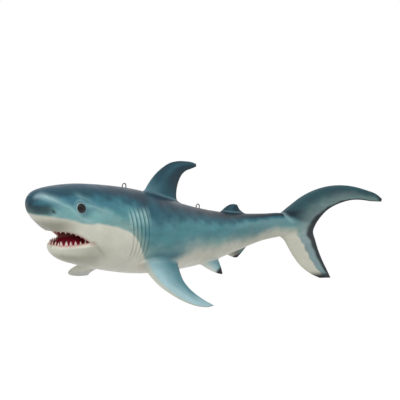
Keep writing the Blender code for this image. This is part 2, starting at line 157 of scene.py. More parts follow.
def ramp(low: float, high: float, value: Array) -> Array:
    """Smooth step from 0 at low to 1 at high."""
    t = np.clip((value - low) / (high - low), 0.0, 1.0)
    return t * t * (3.0 - 2.0 * t)


def mixed(a: Array, b: Array, share: Array) -> Array:
    """Colours a turned into colours b by a share for each point."""
    return a + (b - a) * share[..., None]


def ripple(u: Array, w: Array, size: float, seed: float) -> Array:
    """Soft irregular wave between about -1 and 1: sines of unlike lengths and headings added."""
    a, b = u / size, w / size
    return (np.sin(2.1 * a + 1.3 * b + seed) + np.sin(-1.2 * a + 2.9 * b + 2.0 * seed)
            + np.sin(4.3 * a - 1.9 * b + 3.1 * seed) * 0.6
            + np.sin(3.1 * a + 4.7 * b + 4.7 * seed) * 0.5) / 3.1


def grid_quads(rows: int, columns: int, start: int = 0, wrap: bool = False) -> Array:
    """Four corners of every cell of a grid of points.

    Args:
        rows: rows of points.
        columns: points in a row.
        start: index of the first point.
        wrap: whether the last column joins the first.

    Returns:
        Array of cells by four indices.
    """
    i, k = np.meshgrid(np.arange(rows - 1), np.arange(columns if wrap else columns - 1), indexing="ij")
    a = i * columns + k
    b = i * columns + (k + 1) % columns
    return (start + np.stack((a, b, b + columns, a + columns), axis=-1)).reshape(-1, 4)


def circle_angles(count: int) -> Array:
    """Even angles of one full turn, starting at nothing."""
    return np.linspace(0.0, 2 * math.pi, count, endpoint=False)


def aerofoil(around: int) -> tuple[Array, Array, Array]:
    """Section of a fin.

    Formula: the chord share is half of one less the cosine of the angle, and the half thickness
    is 2.2 times the root of that share times the rest of the chord to the 0.9.

    Args:
        around: points round the section.

    Returns:
        Angles, chord shares and half thicknesses, each as one row.
    """
    angle = circle_angles(around)[None, :]
    chord = 0.5 - 0.5 * np.cos(angle)
    return angle, chord, 2.2 * np.sqrt(chord) * (1.0 - chord) ** 0.9


@dataclass(frozen=True)
class Spine:
    """Backbone path in plan: straight, then turning to the fish's left, and the origin of the part."""

    bend_start: float = 0.382
    bend_end: float = 0.662
    bend_angle: float = math.radians(45.0)
    length: float = 0.800
    steps: int = 800

    def bent(self, points: Array) -> Array:
        """Straight points carried round the backbone: the place on the path plus v across it.

        Args:
            points: straight points, in the last axis u, v and w.

        Returns:
            Array of bent points, before the origin is taken off.
        """
        along = np.linspace(-0.02, self.length, self.steps)
        share = np.clip((along - self.bend_start) / (self.bend_end - self.bend_start), 0.0, 1.0)
        heading = self.bend_angle * share**2 * (3 - 2 * share)
        step = along[1] - along[0]
        x = along[0] + np.concatenate(([0.0], np.cumsum(np.cos(heading[:-1]) * step)))
        y = -np.concatenate(([0.0], np.cumsum(np.sin(heading[:-1]) * step)))
        turn = np.interp(points[..., 0], along, heading)
        return np.stack((np.interp(points[..., 0], along, x) + points[..., 1] * np.sin(turn),
                         np.interp(points[..., 0], along, y) + points[..., 1] * np.cos(turn),
                         points[..., 2]), axis=-1)


@dataclass(frozen=True)
class Trunk:
    """Main form of the fish: rounded sections given by top, bottom, half width and waist height."""

    keys: Keys = (
        (-0.0050, 0.0730, 0.0710, 0.0010, 0.0720), (-0.0030, 0.0820, 0.0625, 0.0105, 0.0710),
        (0.0010, 0.0870, 0.0550, 0.0175, 0.0690), (0.0090, 0.0918, 0.0450, 0.0260, 0.0660),
        (0.0230, 0.0954, 0.0315, 0.0335, 0.0600), (0.0400, 0.0970, 0.0190, 0.0400, 0.0540),
        (0.0620, 0.0977, 0.0010, 0.0460, 0.0440), (0.0880, 0.0970, -0.0260, 0.0525, 0.0330),
        (0.1250, 0.0930, -0.0500, 0.0580, 0.0260), (0.1700, 0.0860, -0.0640, 0.0620, 0.0160),
        (0.2200, 0.0755, -0.0740, 0.0625, 0.0060), (0.2800, 0.0565, -0.0795, 0.0590, -0.0070),
        (0.3400, 0.0365, -0.0805, 0.0510, -0.0180), (0.4100, 0.0180, -0.0770, 0.0420, -0.0250),
        (0.4800, 0.0050, -0.0640, 0.0310, -0.0270), (0.5350, 0.0010, -0.0510, 0.0215, -0.0240),
        (0.5750, 0.0005, -0.0450, 0.0145, -0.0220), (0.6050, -0.0060, -0.0390, 0.0085, -0.0225),
        (0.6300, -0.0200, -0.0260, 0.0020, -0.0230))
    power: float = 2.2

    def shape(self, u: Array) -> tuple[Array, Array, Array, Array]:
        """Top, bottom, half width and waist height at stations u."""
        found = smooth_keys(self.keys, np.asarray(u, float))
        return found[..., 0], found[..., 1], found[..., 2], found[..., 3]

    def level(self, u: Array, v: Array, w: Array) -> Array:
        """Size of a point against the section at its station: 1 on the skin, less inside.

        Formula: the power-2.2 mean of v over the half width and of the height above or below the
        waist over the rise on that side.

        Args:
            u: stations.
            v: distances across.
            w: heights.

        Returns:
            Array of sizes.
        """
        top, bottom, half, waist = self.shape(u)
        rise = np.where(w > waist, top - waist, waist - bottom)
        return (np.abs(v / half) ** self.power + np.abs((w - waist) / rise) ** self.power) ** (1 / self.power)

    def side(self, u: Array, w: Array) -> Array:
        """Half width of the skin at a station and height, nothing above or below the section.

        Args:
            u: stations.
            w: heights.

        Returns:
            Array of half widths.
        """
        top, bottom, half, waist = self.shape(u)
        rise = np.where(w > waist, top - waist, waist - bottom)
        share = np.clip(np.abs(w - waist) / rise, 0.0, 1.0)
        inside = (u >= self.keys[0][0]) & (u <= self.keys[-1][0])
        return np.where(inside, half * (1.0 - share**self.power) ** (1 / self.power), 0.0)

    def clearance(self, points: Array) -> Array:
        """Rough distance of points outside the skin, measured from the middle of the section.

        Args:
            points: straight points, in the last axis u, v and w.

        Returns:
            Array of distances, below nothing inside.
        """
        u, v, w = points[..., 0], points[..., 1], points[..., 2]
        waist = self.shape(u)[3]
        return np.hypot(v, w - waist) * (1.0 - 1.0 / np.maximum(self.level(u, v, w), 1e-3))

    def normal(self, points: Array) -> Array:
        """Outward direction across the section: the slope of the level in v and w.

        Args:
            points: straight points, in the last axis u, v and w.

        Returns:
            Array of unit directions.
        """
        u, v, w = points[..., 0], points[..., 1], points[..., 2]
        top, bottom, half, waist = self.shape(u)
        rise = np.where(w > waist, top - waist, waist - bottom)
        across = np.sign(v) * np.abs(v / half) ** (self.power - 1) / half
        upward = np.sign(w - waist) * np.abs((w - waist) / rise) ** (self.power - 1) / rise
        length = np.maximum(np.hypot(across, upward), 1e-9)
        return np.stack((np.zeros_like(across), across / length, upward / length), axis=-1)


@dataclass(frozen=True)
class Jaw(Trunk):
    """Lower jaw, in the same sections."""

    keys: Keys = (
        (0.0370, -0.0030, -0.0070, 0.0020, -0.0045), (0.0400, 0.0020, -0.0130, 0.0130, -0.0040),
        (0.0480, 0.0045, -0.0215, 0.0235, -0.0045), (0.0620, 0.0060, -0.0300, 0.0345, -0.0050),
        (0.0800, 0.0070, -0.0370, 0.0445, -0.0040), (0.1050, 0.0080, -0.0450, 0.0455, -0.0040),
        (0.1400, 0.0100, -0.0510, 0.0390, -0.0090), (0.1700, 0.0050, -0.0480, 0.0300, -0.0150))


SPINE = Spine()
TRUNK = Trunk()
JAW = Jaw()


@dataclass(frozen=True)
class WirePlace:
    """Where the two hanging loops stand on the back, and their size."""

    places: tuple[float, float] = (0.1960, 0.3760)
    radius: float = 0.0040
    wire: float = 0.0010
    rise: float = 0.0030
    leg: float = 0.0120

    def centres(self) -> Array:
        """Middles of the two arches, straight coordinates."""
        places = np.array(self.places)
        return np.stack((places, np.zeros(2), TRUNK.shape(places)[0] + self.rise), axis=-1)

    def origin(self) -> Array:
        """Point half way between the loops, which is the origin of the part."""
        return SPINE.bent(self.centres()).mean(axis=0)


LOOPS = WirePlace()
EYE_PLACE = (0.0665, 0.0625)
WELD = 0.00002


def placed(points: Array) -> Array:
    """Straight coordinates in the part's frame."""
    return SPINE.bent(points) - LOOPS.origin()


@dataclass(frozen=True)
class Palette:
    """Paint colours of the casting, as display colours."""

    back: Colour = (17, 47, 63)
    ridge: Colour = (11, 31, 42)
    shoulder: Colour = (36, 90, 105)
    flank: Colour = (84, 141, 150)
    low_flank: Colour = (150, 173, 168)
    head_top: Colour = (16, 61, 78)
    head_side: Colour = (58, 112, 128)
    cheek: Colour = (126, 174, 176)
    patch: Colour = (30, 46, 54)
    belly: Colour = (224, 223, 209)
    throat: Colour = (222, 222, 206)
    fin_dark: Colour = (22, 56, 70)
    fin_black: Colour = (28, 30, 36)
    fin_pale: Colour = (152, 186, 192)
    fin_mid: Colour = (118, 158, 166)
    fin_teal: Colour = (74, 128, 140)
    fin_grey: Colour = (116, 138, 138)
    lobe_dark: Colour = (42, 76, 84)
    lobe_grey: Colour = (146, 166, 166)
    fin_stone: Colour = (128, 126, 116)
    cream: Colour = (208, 208, 192)
    strip: Colour = (172, 178, 169)
    underfin: Colour = (200, 198, 178)
    lip: Colour = (214, 156, 146)
    gum: Colour = (222, 184, 172)
    mouth: Colour = (234, 74, 104)
    palate: Colour = (160, 66, 88)
    deep: Colour = (112, 30, 46)
    tongue: Colour = (232, 66, 96)
    # pale teal of the head lines, gill bars and outer lid ring, and of the painted highlights above the eye
    # and by the nostril
    pale_line_and_highlight: Colour = (176, 208, 208)
    shade: Colour = (156, 156, 138)
    tooth: Colour = (232, 226, 212)
    tooth_root: Colour = (222, 186, 172)
    iris_and_glint: Colour = (58, 26, 22)
    pupil: Colour = (8, 8, 9)
    wire: Colour = (116, 116, 112)
    tarnish: Colour = (66, 64, 60)


PALETTE = Palette()


@dataclass(frozen=True)
class Mark:
    """Soft oval of paint, given by its middle and half size along u and w."""

    middle: tuple[float, float]
    size: tuple[float, float]
    colour: Colour
    strength: float
    power: int = 2

    def over(self, base: Array, u: Array, w: Array, share: Array | float = 1.0) -> Array:
        """Colours with the mark on them.

        Formula: a bell curve, e to minus the sum of the distances from the middle along u and w,
        each over its half size and raised to the power of the mark.

        Args:
            base: colours below the mark.
            u: stations.
            w: heights.
            share: how much of the mark shows.

        Returns:
            Array of colours.
        """
        oval = np.exp(-((u - self.middle[0]) / self.size[0]) ** self.power
                      - ((w - self.middle[1]) / self.size[1]) ** self.power)
        return mixed(base, linear(self.colour), self.strength * oval * share)


@dataclass
class Patch:
    """Surface being made: straight points, cells and the paint on each point."""

    points: Array
    quads: Array
    upper: Array
    lower: Array
    line: Array


def joined(patches: list[Patch]) -> Patch:
    """Several patches as one, the cells renumbered."""
    starts = np.cumsum([0] + [len(p.points) for p in patches[:-1]])
    return Patch(np.concatenate([p.points for p in patches]),
                 np.concatenate([p.quads + s for p, s in zip(patches, starts)]),
                 np.concatenate([p.upper for p in patches]), np.concatenate([p.lower for p in patches]),
                 np.concatenate([p.line for p in patches]))


def make_piece(name: str, patch: Patch, finish: bpy.types.Material, node: str,
               levels: int = 1) -> bpy.types.Object:
    """Object of a patch, in the part's frame, closed, faces outward, riding on the frame.

    Args:
        name: name of the piece.
        patch: the surface and its paint.
        finish: material.
        node: CAD node that the piece stands for.
        levels: rounds of subdivision.

    Returns:
        The finished object.
    """
    mesh = bpy.data.meshes.new(name)
    mesh.from_pydata(placed(patch.points).tolist(), [], patch.quads.tolist())
    for layer, value in (("upper", patch.upper), ("lower", patch.lower)):
        made = mesh.attributes.new(layer, "FLOAT_COLOR", "POINT")
        with_alpha = np.column_stack((value, np.ones(len(value))))
        made.data.foreach_set("color", with_alpha.astype(np.float32).ravel())
    mesh.attributes.new("line", "FLOAT", "POINT").data.foreach_set("value", patch.line.astype(np.float32))
    work = bmesh.new()
    work.from_mesh(mesh)
    bmesh.ops.remove_doubles(work, verts=work.verts, dist=WELD)
    bmesh.ops.recalc_face_normals(work, faces=work.faces)
    work.to_mesh(mesh)
    work.free()
    mesh.polygons.foreach_set("use_smooth", np.ones(len(mesh.polygons), bool))
    mesh.materials.append(finish)
    made = bpy.data.objects.new(name, mesh)
    bpy.context.scene.collection.objects.link(made)
    if levels:
        step = made.modifiers.new("fine", "SUBSURF")
        step.levels = step.render_levels = levels
    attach(made, "root")
    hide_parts(node)
    log.info("%s: %d points, %d faces", name, len(mesh.vertices), len(mesh.polygons))
    return made


class Graph:
    """Node tree of a new material, with short ways to add nodes."""

    def __init__(self, name: str) -> None:
        """Start a material with a Principled shader.

        Args:
            name: name of the material.
        """
        self.material = bpy.data.materials.new(name)
        self.material.use_nodes = True
        self.tree = self.material.node_tree
        self.shader = self.tree.nodes["Principled BSDF"]

    def link(self, a: bpy.types.NodeSocket, b: bpy.types.NodeSocket) -> None:
        """Join an output to an input."""
        self.tree.links.new(a, b)

    def noise(self, scale: float, detail: float = 3.0, roughness: float = 0.5,
              stretch: tuple[float, float, float] = (1.0, 1.0, 1.0),
              slant: float = 0.0) -> bpy.types.NodeSocket:
        """Noise on Object coordinates, between 0 and 1, finer along the axes with a larger stretch.

        Args:
            scale: waves in a metre.
            detail: rounds of finer noise.
            roughness: strength of the finer noise.
            stretch: how much finer along x, y and z.
            slant: turn of the pattern about y.

        Returns:
            Output socket.
        """
        place = self.tree.nodes.new("ShaderNodeTexCoord")
        turned = self.tree.nodes.new("ShaderNodeMapping")
        turned.inputs["Scale"].default_value = stretch
        turned.inputs["Rotation"].default_value = (0.0, slant, 0.0)
        made = self.tree.nodes.new("ShaderNodeTexNoise")
        made.inputs["Scale"].default_value = scale
        made.inputs["Detail"].default_value = detail
        made.inputs["Roughness"].default_value = roughness
        self.link(place.outputs["Object"], turned.inputs["Vector"])
        self.link(turned.outputs["Vector"], made.inputs["Vector"])
        return made.outputs["Fac"]

    def attribute(self, name: str, output: str) -> bpy.types.NodeSocket:
        """Value that the mesh carries on its points.

        Args:
            name: name of the attribute.
            output: name of the socket wanted.

        Returns:
            Output socket.
        """
        made = self.tree.nodes.new("ShaderNodeAttribute")
        made.attribute_name = name
        return made.outputs[output]

    def sum(self, a: bpy.types.NodeSocket, b: bpy.types.NodeSocket | float,
            factor: float) -> bpy.types.NodeSocket:
        """The second value times the factor, added to the first.

        Args:
            a: first value.
            b: value or socket that is multiplied.
            factor: what it is multiplied by.

        Returns:
            Output socket.
        """
        made = self.tree.nodes.new("ShaderNodeMath")
        made.operation = "MULTIPLY_ADD"
        if isinstance(b, float):
            made.inputs[0].default_value = b
        else:
            self.link(b, made.inputs[0])
        made.inputs[1].default_value = factor
        self.link(a, made.inputs[2])
        return made.outputs[0]

    def spread(self, value: bpy.types.NodeSocket, source: tuple[float, float],
               target: tuple[float, float]) -> bpy.types.NodeSocket:
        """Value carried smoothly from one range to another.

        Args:
            value: socket of the value.
            source: range that it comes in.
            target: range that it goes to.

        Returns:
            Output socket.
        """
        made = self.tree.nodes.new("ShaderNodeMapRange")
        made.interpolation_type = "SMOOTHSTEP"
        made.inputs["From Min"].default_value, made.inputs["From Max"].default_value = source
        made.inputs["To Min"].default_value, made.inputs["To Max"].default_value = target
        self.link(value, made.inputs["Value"])
        return made.outputs["Result"]

    def mix(self, kind: str, factor: bpy.types.NodeSocket | float, a: bpy.types.NodeSocket,
            b: bpy.types.NodeSocket | Colour) -> bpy.types.NodeSocket:
        """Two colours mixed in the named way.

        Args:
            kind: Blender's name of the way of mixing.
            factor: share of the second colour.
            a: first colour.
            b: second colour.

        Returns:
            Output socket.
        """
        made = self.tree.nodes.new("ShaderNodeMix")
        made.data_type = "RGBA"
        made.blend_type = kind
        if isinstance(factor, float):
            made.inputs["Factor"].default_value = factor
        else:
            self.link(factor, made.inputs["Factor"])
        self.link(a, made.inputs[6])
        if isinstance(b, tuple):
            made.inputs[7].default_value = (*b, 1.0)
        else:
            self.link(b, made.inputs[7])
        return made.outputs[2]

    def grey(self, value: bpy.types.NodeSocket) -> bpy.types.NodeSocket:
        """A value as a grey colour.

        Args:
            value: socket of the value.

        Returns:
            Output socket.
        """
        made = self.tree.nodes.new("ShaderNodeCombineColor")
        for k in range(3):
            self.link(value, made.inputs[k])
        return made.outputs[0]

    def hue(self, value: bpy.types.NodeSocket, source: tuple[float, float], low: Colour,
            high: Colour) -> bpy.types.NodeSocket:
        """Colour that runs smoothly from low to high as a value crosses its source range.

        Args:
            value: socket of the value.
            source: range that it comes in.
            low: colour at the low end.
            high: colour at the high end.

        Returns:
            Output socket.
        """
        made = self.tree.nodes.new("ShaderNodeCombineColor")
        for k in range(3):
            self.link(self.spread(value, source, (low[k], high[k])), made.inputs[k])
        return made.outputs[0]

    def bump(self, height: bpy.types.NodeSocket, strength: float, distance: float) -> None:
        """Fine relief on the surface.

        Args:
            height: socket of the height.
            strength: share of the relief shown.
            distance: height of the relief in metres.
        """
        made = self.tree.nodes.new("ShaderNodeBump")
        made.inputs["Strength"].default_value = strength
        made.inputs["Distance"].default_value = distance
        self.link(height, made.inputs["Height"])
        self.link(made.outputs["Normal"], self.shader.inputs["Normal"])


@dataclass(frozen=True)
class PaintFinish:
    """Airbrushed satin paint under a thin clear coat; the colours come from the mesh."""

    roughness: tuple[float, float] = (0.34, 0.46)
    gloss: float = 0.22
    coat: float = 0.05
    coat_roughness: float = 0.25
    edge_scale: float = 70.0
    edge_range: tuple[float, float] = (-0.55, 1.45)
    mottle_scale: float = 38.0
    mottle: tuple[float, float] = (0.93, 1.06)
    grain_scale: float = 900.0
    grain: tuple[float, float] = (0.965, 1.03)
    streak_stretch: tuple[float, float, float] = (14.0, 14.0, 70.0)
    streak_slant: float = 0.7
    streaks: tuple[float, float] = (0.89, 1.08)
    tint_scale: float = 24.0
    tint_low: Colour = (1.03, 0.985, 1.0)
    tint_high: Colour = (0.91, 1.02, 0.99)
    gloss_scale: float = 55.0
    bump_scale: float = 260.0
    bump_strength: float = 0.10
    bump_height: float = 0.0005

    def build(self) -> bpy.types.Material:
        """Material with the border of the two colours broken up by noise.

        Returns:
            The material.
        """
        graph = Graph("satin_paint")
        edge = graph.sum(graph.attribute("line", "Fac"), graph.noise(self.edge_scale, 4.0), 0.9)
        share = graph.spread(edge, self.edge_range, (0.0, 1.0))
        base = graph.mix("MIX", share, graph.attribute("lower", "Color"), graph.attribute("upper", "Color"))
        cloud = graph.grey(graph.spread(graph.noise(self.mottle_scale, 5.0, 0.6), (0.25, 0.75), self.mottle))
        grain = graph.grey(graph.spread(graph.noise(self.grain_scale, 2.0), (0.2, 0.8), self.grain))
        brush = graph.noise(1.0, 3.0, 0.6, self.streak_stretch, self.streak_slant)
        streak = graph.grey(graph.spread(brush, (0.3, 0.7), self.streaks))
        tint = graph.hue(graph.noise(self.tint_scale, 4.0, 0.6), (0.34, 0.66), self.tint_low, self.tint_high)
        base = graph.mix("MULTIPLY", share, graph.mix("MULTIPLY", share, base, tint), streak)
        toned = graph.mix("MULTIPLY", 1.0, graph.mix("MULTIPLY", 1.0, base, cloud), grain)
        graph.link(toned, graph.shader.inputs["Base Color"])
        graph.link(graph.spread(graph.noise(self.gloss_scale, 3.0), (0.3, 0.7), self.roughness),
                   graph.shader.inputs["Roughness"])
        graph.shader.inputs["Specular IOR Level"].default_value = self.gloss
        graph.shader.inputs["Coat Weight"].default_value = self.coat
        graph.shader.inputs["Coat Roughness"].default_value = self.coat_roughness
        graph.bump(graph.noise(self.bump_scale, 4.0, 0.6), self.bump_strength, self.bump_height)
        return graph.material


@dataclass(frozen=True)
class GlassFinish:
    """Dark glass eye, black in the middle and brown near its rim: the brown iris shows on the lower side
    only, as a painted glint of light through the glass.
    """

    roughness: float = 0.10
    gloss: float = 0.22
    streak_scale: float = 420.0
    streaks: tuple[float, float] = (0.7, 1.25)

    def build(self) -> bpy.types.Material:
        """Material with the iris streaked by noise.

        Returns:
            The material.
        """
        graph = Graph("dark_glass")
        base = graph.mix("MIX", graph.attribute("line", "Fac"), graph.attribute("lower", "Color"),
                         graph.attribute("upper", "Color"))
        streak = graph.grey(graph.spread(graph.noise(self.streak_scale, 3.0), (0.3, 0.7), self.streaks))
        graph.link(graph.mix("MULTIPLY", 1.0, base, streak), graph.shader.inputs["Base Color"])
        graph.shader.inputs["Roughness"].default_value = self.roughness
        graph.shader.inputs["Specular IOR Level"].default_value = self.gloss
        return graph.material


@dataclass(frozen=True)
class ToothFinish:
    """Ivory enamel paint, warmer at the gum."""

    roughness: float = 0.28
    stain_scale: float = 500.0
    stains: tuple[float, float] = (0.93, 1.03)

    def build(self) -> bpy.types.Material:
        """Material blending the root and tip colours that the mesh carries.

        Returns:
            The material.
        """
        graph = Graph("tooth_enamel")
        share = graph.spread(graph.attribute("line", "Fac"), (0.0, 0.6), (0.0, 1.0))
        base = graph.mix("MIX", share, graph.attribute("lower", "Color"), graph.attribute("upper", "Color"))
        stain = graph.grey(graph.spread(graph.noise(self.stain_scale, 3.0), (0.3, 0.7), self.stains))
        graph.link(graph.mix("MULTIPLY", 1.0, base, stain), graph.shader.inputs["Base Color"])
        graph.shader.inputs["Roughness"].default_value = self.roughness
        return graph.material


@dataclass(frozen=True)
class WireFinish:
    """Drawn steel wire with a dull tarnish."""

    roughness: tuple[float, float] = (0.28, 0.5)
    tarnish_scale: float = 700.0
    gloss_scale: float = 450.0

    def build(self) -> bpy.types.Material:
        """Metal whose colour and gloss vary along the wire.

        Returns:
            The material.
        """
        graph = Graph("steel_wire")
        dull = graph.spread(graph.noise(self.tarnish_scale, 3.0), (0.35, 0.65), (0.0, 1.0))
        base = graph.mix("MIX", dull, graph.attribute("lower", "Color"), graph.attribute("upper", "Color"))
        graph.link(base, graph.shader.inputs["Base Color"])
        graph.link(graph.spread(graph.noise(self.gloss_scale), (0.3, 0.7), self.roughness),
                   graph.shader.inputs["Roughness"])
        graph.shader.inputs["Metallic"].default_value = 1.0
        return graph.material


@dataclass
class Skin:
    """Body skin: outer back and belly sheets, palate and mouth floor, meeting at the lips."""

    upper_lip: Keys = (
        (0.0100, 0.0250), (0.0330, 0.0248), (0.0500, 0.0228), (0.0680, 0.0150), (0.0840, 0.0037))
    lower_lip: Keys = (
        (0.0100, 0.0010), (0.0330, 0.0005), (0.0500, 0.0000), (0.0680, 0.0010), (0.0840, 0.0037))
    seam: Keys = (
        (0.0840, 0.0037), (0.1250, 0.0040), (0.1700, 0.0020), (0.2200, -0.0040), (0.2800, -0.0140),
        (0.3400, -0.0240), (0.4100, -0.0300), (0.4800, -0.0300), (0.5350, -0.0260), (0.5750, -0.0235),
        (0.6050, -0.0228), (0.6300, -0.0231))
    border: Keys = (
        (-0.0050, 0.0560), (0.0014, 0.0548), (0.0090, 0.0538), (0.0210, 0.0515), (0.0330, 0.0489),
        (0.0460, 0.0455), (0.0620, 0.0401), (0.0750, 0.0365), (0.0930, 0.0350), (0.1120, 0.0313),
        (0.1310, 0.0256), (0.1470, 0.0190), (0.1640, 0.0073), (0.1780, -0.0085), (0.1880, -0.0257),
        (0.2000, -0.0440), (0.2200, -0.0530), (0.2500, -0.0560), (0.2780, -0.0510), (0.3070, -0.0410),
        (0.3400, -0.0410), (0.3770, -0.0430), (0.4420, -0.0430), (0.5040, -0.0410), (0.5540, -0.0310),
        (0.5890, -0.0315), (0.6300, -0.0310))
    # pale lines of the head, partly the figurine's own pale paint and partly painted highlight along the
    # ridges
    pale_lines_and_highlights: tuple[Keys, ...] = (
        ((0.0060, 0.0880), (0.0180, 0.0812), (0.0382, 0.0690), (0.0480, 0.0640), (0.0600, 0.0490),
         (0.0760, 0.0400), (0.0950, 0.0350)),
        ((0.0720, 0.0655), (0.0850, 0.0640), (0.0960, 0.0600), (0.1120, 0.0520), (0.1300, 0.0480)),
        ((0.0600, 0.0840), (0.0720, 0.0790), (0.0860, 0.0715), (0.1000, 0.0660)))
    pale_line_and_highlight_strengths: tuple[float, ...] = (1.0, 0.9, 0.45)
    snout_start: float = -0.0050
    tail_end: tuple[float, float, float] = (0.630, 0.0, -0.0231)
    corner: float = 0.0840
    throat: float = 0.1350
    jaw_tip: float = 0.0366
    palate_height: float = 0.0150
    floor_depth: float = 0.0105
    palate_rim: float = 0.0028
    floor_rim: float = 0.0034
    tongue_middle: float = 0.0860
    tongue_length: float = 0.0290
    tongue_width: float = 0.0175
    tongue_height: float = 0.0085
    back_points: int = 121
    belly_points: int = 71
    mouth_points: int = 49
    jaw_blend: float = 0.008
    gill_count: int = 5
    gill_top: tuple[float, float] = (0.1590, 0.0570)
    gill_bottom: tuple[float, float] = (0.1620, -0.0400)
    gill_pitch: float = 0.0090
    gill_bow: float = 0.0040
    gill_depth: float = 0.0022
    gill_width: float = 0.0011
    eye: tuple[float, float] = EYE_PLACE
    nostril: tuple[float, float] = (0.0210, 0.0600)
    head_end: tuple[float, float] = (0.10, 0.17)
    side_edge: tuple[float, float] = (0.004, 0.012)
    behind_gills: Mark = Mark((0.222, 0.040), (0.014, 0.030), PALETTE.shoulder, 0.75)
    snout_patch: Mark = Mark((0.005, 0.0640), (0.0150, 0.0092), PALETTE.patch, 0.85, 4)
    nostril_glint: Mark = Mark((0.0210, 0.0525), (0.0040, 0.0030), PALETTE.pale_line_and_highlight, 0.5)
    corner_blush: Mark = Mark((0.0875, 0.0020), (0.0040, 0.0035), PALETTE.lip, 0.35)

    def lip_front(self) -> float:
        """Station where the upper lip line leaves the underside of the snout.

        Returns:
            Station in metres.
        """
        u = np.linspace(0.02, 0.06, 4001)
        above = smooth_keys(self.upper_lip, u)[..., 0] > TRUNK.shape(u)[1]
        return float(u[np.argmax(above)])

    def mouth_stations(self, start: float) -> Array:
        """Stations of the gape, closer together at its front."""
        return start + (self.corner - start) * np.linspace(0.0, 1.0, 60) ** 1.7

    def end_height(self, lip: Keys, u: Array) -> Array:
        """Height of a lip line, and behind the corner of the mouth of the seam."""
        return np.where(u < self.corner, smooth_keys(lip, u)[..., 0], smooth_keys(self.seam, u)[..., 0])

    def rear_stations(self) -> Array:
        """Stations from the corner of the mouth to the tail, closest together at the gills."""
        return np.concatenate((np.linspace(self.corner, 0.156, 50)[:-1], np.linspace(0.156, 0.212, 90)[:-1],
                               np.linspace(0.212, 0.600, 90)[:-1], np.linspace(0.600, 0.630, 12)))

    def back_sheet(self, u: Array) -> Array:
        """Outer sheet above the lips and the seam.

        Formula: the trunk section, from the angle at which it reaches the end height round over
        the top to the same angle on the other side, cut again at even lengths.

        Args:
            u: stations.

        Returns:
            Grid of stations by points across, from the right end to the left.
        """
        top, bottom, half, waist = TRUNK.shape(u)
        end = self.end_height(self.upper_lip, u)
        share = np.clip((waist - end) / (waist - bottom), 0.0, 1.0)
        first = -np.arcsin(share ** (TRUNK.power / 2.0))
        angle = first[:, None] + (math.pi - 2 * first[:, None]) * np.linspace(0.0, 1.0, 361)
        bend = 2.0 / TRUNK.power
        across = half[:, None] * np.sign(np.cos(angle)) * np.abs(np.cos(angle)) ** bend
        rise = np.where(np.sin(angle) > 0, (top - waist)[:, None], (waist - bottom)[:, None])
        height = waist[:, None] + rise * np.sign(np.sin(angle)) * np.abs(np.sin(angle)) ** bend
        closed = share >= 1.0
        across[closed, 0] = across[closed, -1] = 0.0
        line = np.stack((np.broadcast_to(u[:, None], across.shape), across, height), axis=-1)
        return even_rows(line, np.linspace(0.0, 1.0, self.back_points))

    def far_reach(self, form: Trunk, u: Array, centre: Array, angle: Array) -> Array:
        """Distance from a centre line to the far side of a form.

        Formula: the level of the form is sampled along each ray and the last crossing of 1 found by
        straight interpolation.

        Args:
            form: trunk or jaw.
            u: stations.
            centre: height of the centre line at each station.
            angle: angles of the rays, all below the horizontal.

        Returns:
            Array of stations by rays, nothing where a ray misses.
        """
        reach = np.linspace(0.0, 0.115, 161)
        v = np.cos(angle)[None, :, None] * reach
        w = centre[:, None, None] + np.sin(angle)[None, :, None] * reach
        level = form.level(np.broadcast_to(u[:, None, None], w.shape), np.broadcast_to(v, w.shape), w)
        inside = level < 1.0
        last = len(reach) - 1 - np.argmax(inside[..., ::-1], axis=-1)
        last = np.minimum(last, len(reach) - 2)
        low = np.take_along_axis(level, last[..., None], -1)[..., 0]
        high = np.take_along_axis(level, last[..., None] + 1, -1)[..., 0]
        found = reach[last] + (1.0 - low) / (high - low) * reach[1]
        ahead = (u < form.keys[0][0]) | (u > form.keys[-1][0])
        return np.where(inside.any(axis=-1) & ~ahead[:, None], found, 0.0)

    def belly_sheet(self, u: Array, ends: Array) -> Array:
        """Outer sheet below the lips and the seam, the jaw melted into the trunk.

        Formula: rays from the end height meet the far side of trunk and jaw, the rounded larger
        of the two is kept, and the line is cut again at even lengths.

        Args:
            u: stations.
            ends: right ends of the back sheet at the stations behind the corner.

        Returns:
            Grid of stations by points across, from the right end to the left.
        """
        ahead = len(u) - len(ends)
        centre = self.end_height(self.lower_lip, u)
        angle = -math.pi * (0.5 - 0.5 * np.cos(np.linspace(0.0, math.pi, 141)))
        reach = smooth_max(self.far_reach(TRUNK, u, centre, angle), self.far_reach(JAW, u, centre, angle),
                           self.jaw_blend)
        reach[ahead:, 0] = ends[:, 1]
        reach[ahead:, -1] = ends[:, 1]
        line = np.stack((np.broadcast_to(u[:, None], reach.shape), reach * np.cos(angle),
                         centre[:, None] + reach * np.sin(angle)), axis=-1)
        line[:, 0, 2] = line[:, -1, 2] = centre
        return even_rows(line, np.linspace(0.0, 1.0, self.belly_points))

    def inner_sheet(self, ends: Array, rise: Array, rim: float) -> Array:
        """Palate or floor of the mouth between two lip lines.

        Formula: at a share x of the way from the middle to the lip, the height is the lip height
        plus the rise times one minus x to the 2.4, all to the 0.8, flat over the rim of the lip.

        Args:
            ends: right lip points.
            rise: height of the vault at each station, below nothing for the floor.
            rim: width of the flat lip.

        Returns:
            Grid of stations by points across, from the right lip to the left.
        """
        x = np.cos(np.linspace(0.0, math.pi, self.mouth_points))
        half = ends[:, 1][:, None]
        inner = np.clip(1.0 - rim / np.maximum(half, 1e-6), 0.05, 1.0)
        share = np.clip(np.abs(x) / inner, 0.0, 1.0)
        height = ends[:, 2][:, None] + rise[:, None] * (1.0 - share**2.4) ** 0.8
        return np.stack((np.broadcast_to(ends[:, 0][:, None], height.shape), half * x, height), axis=-1)

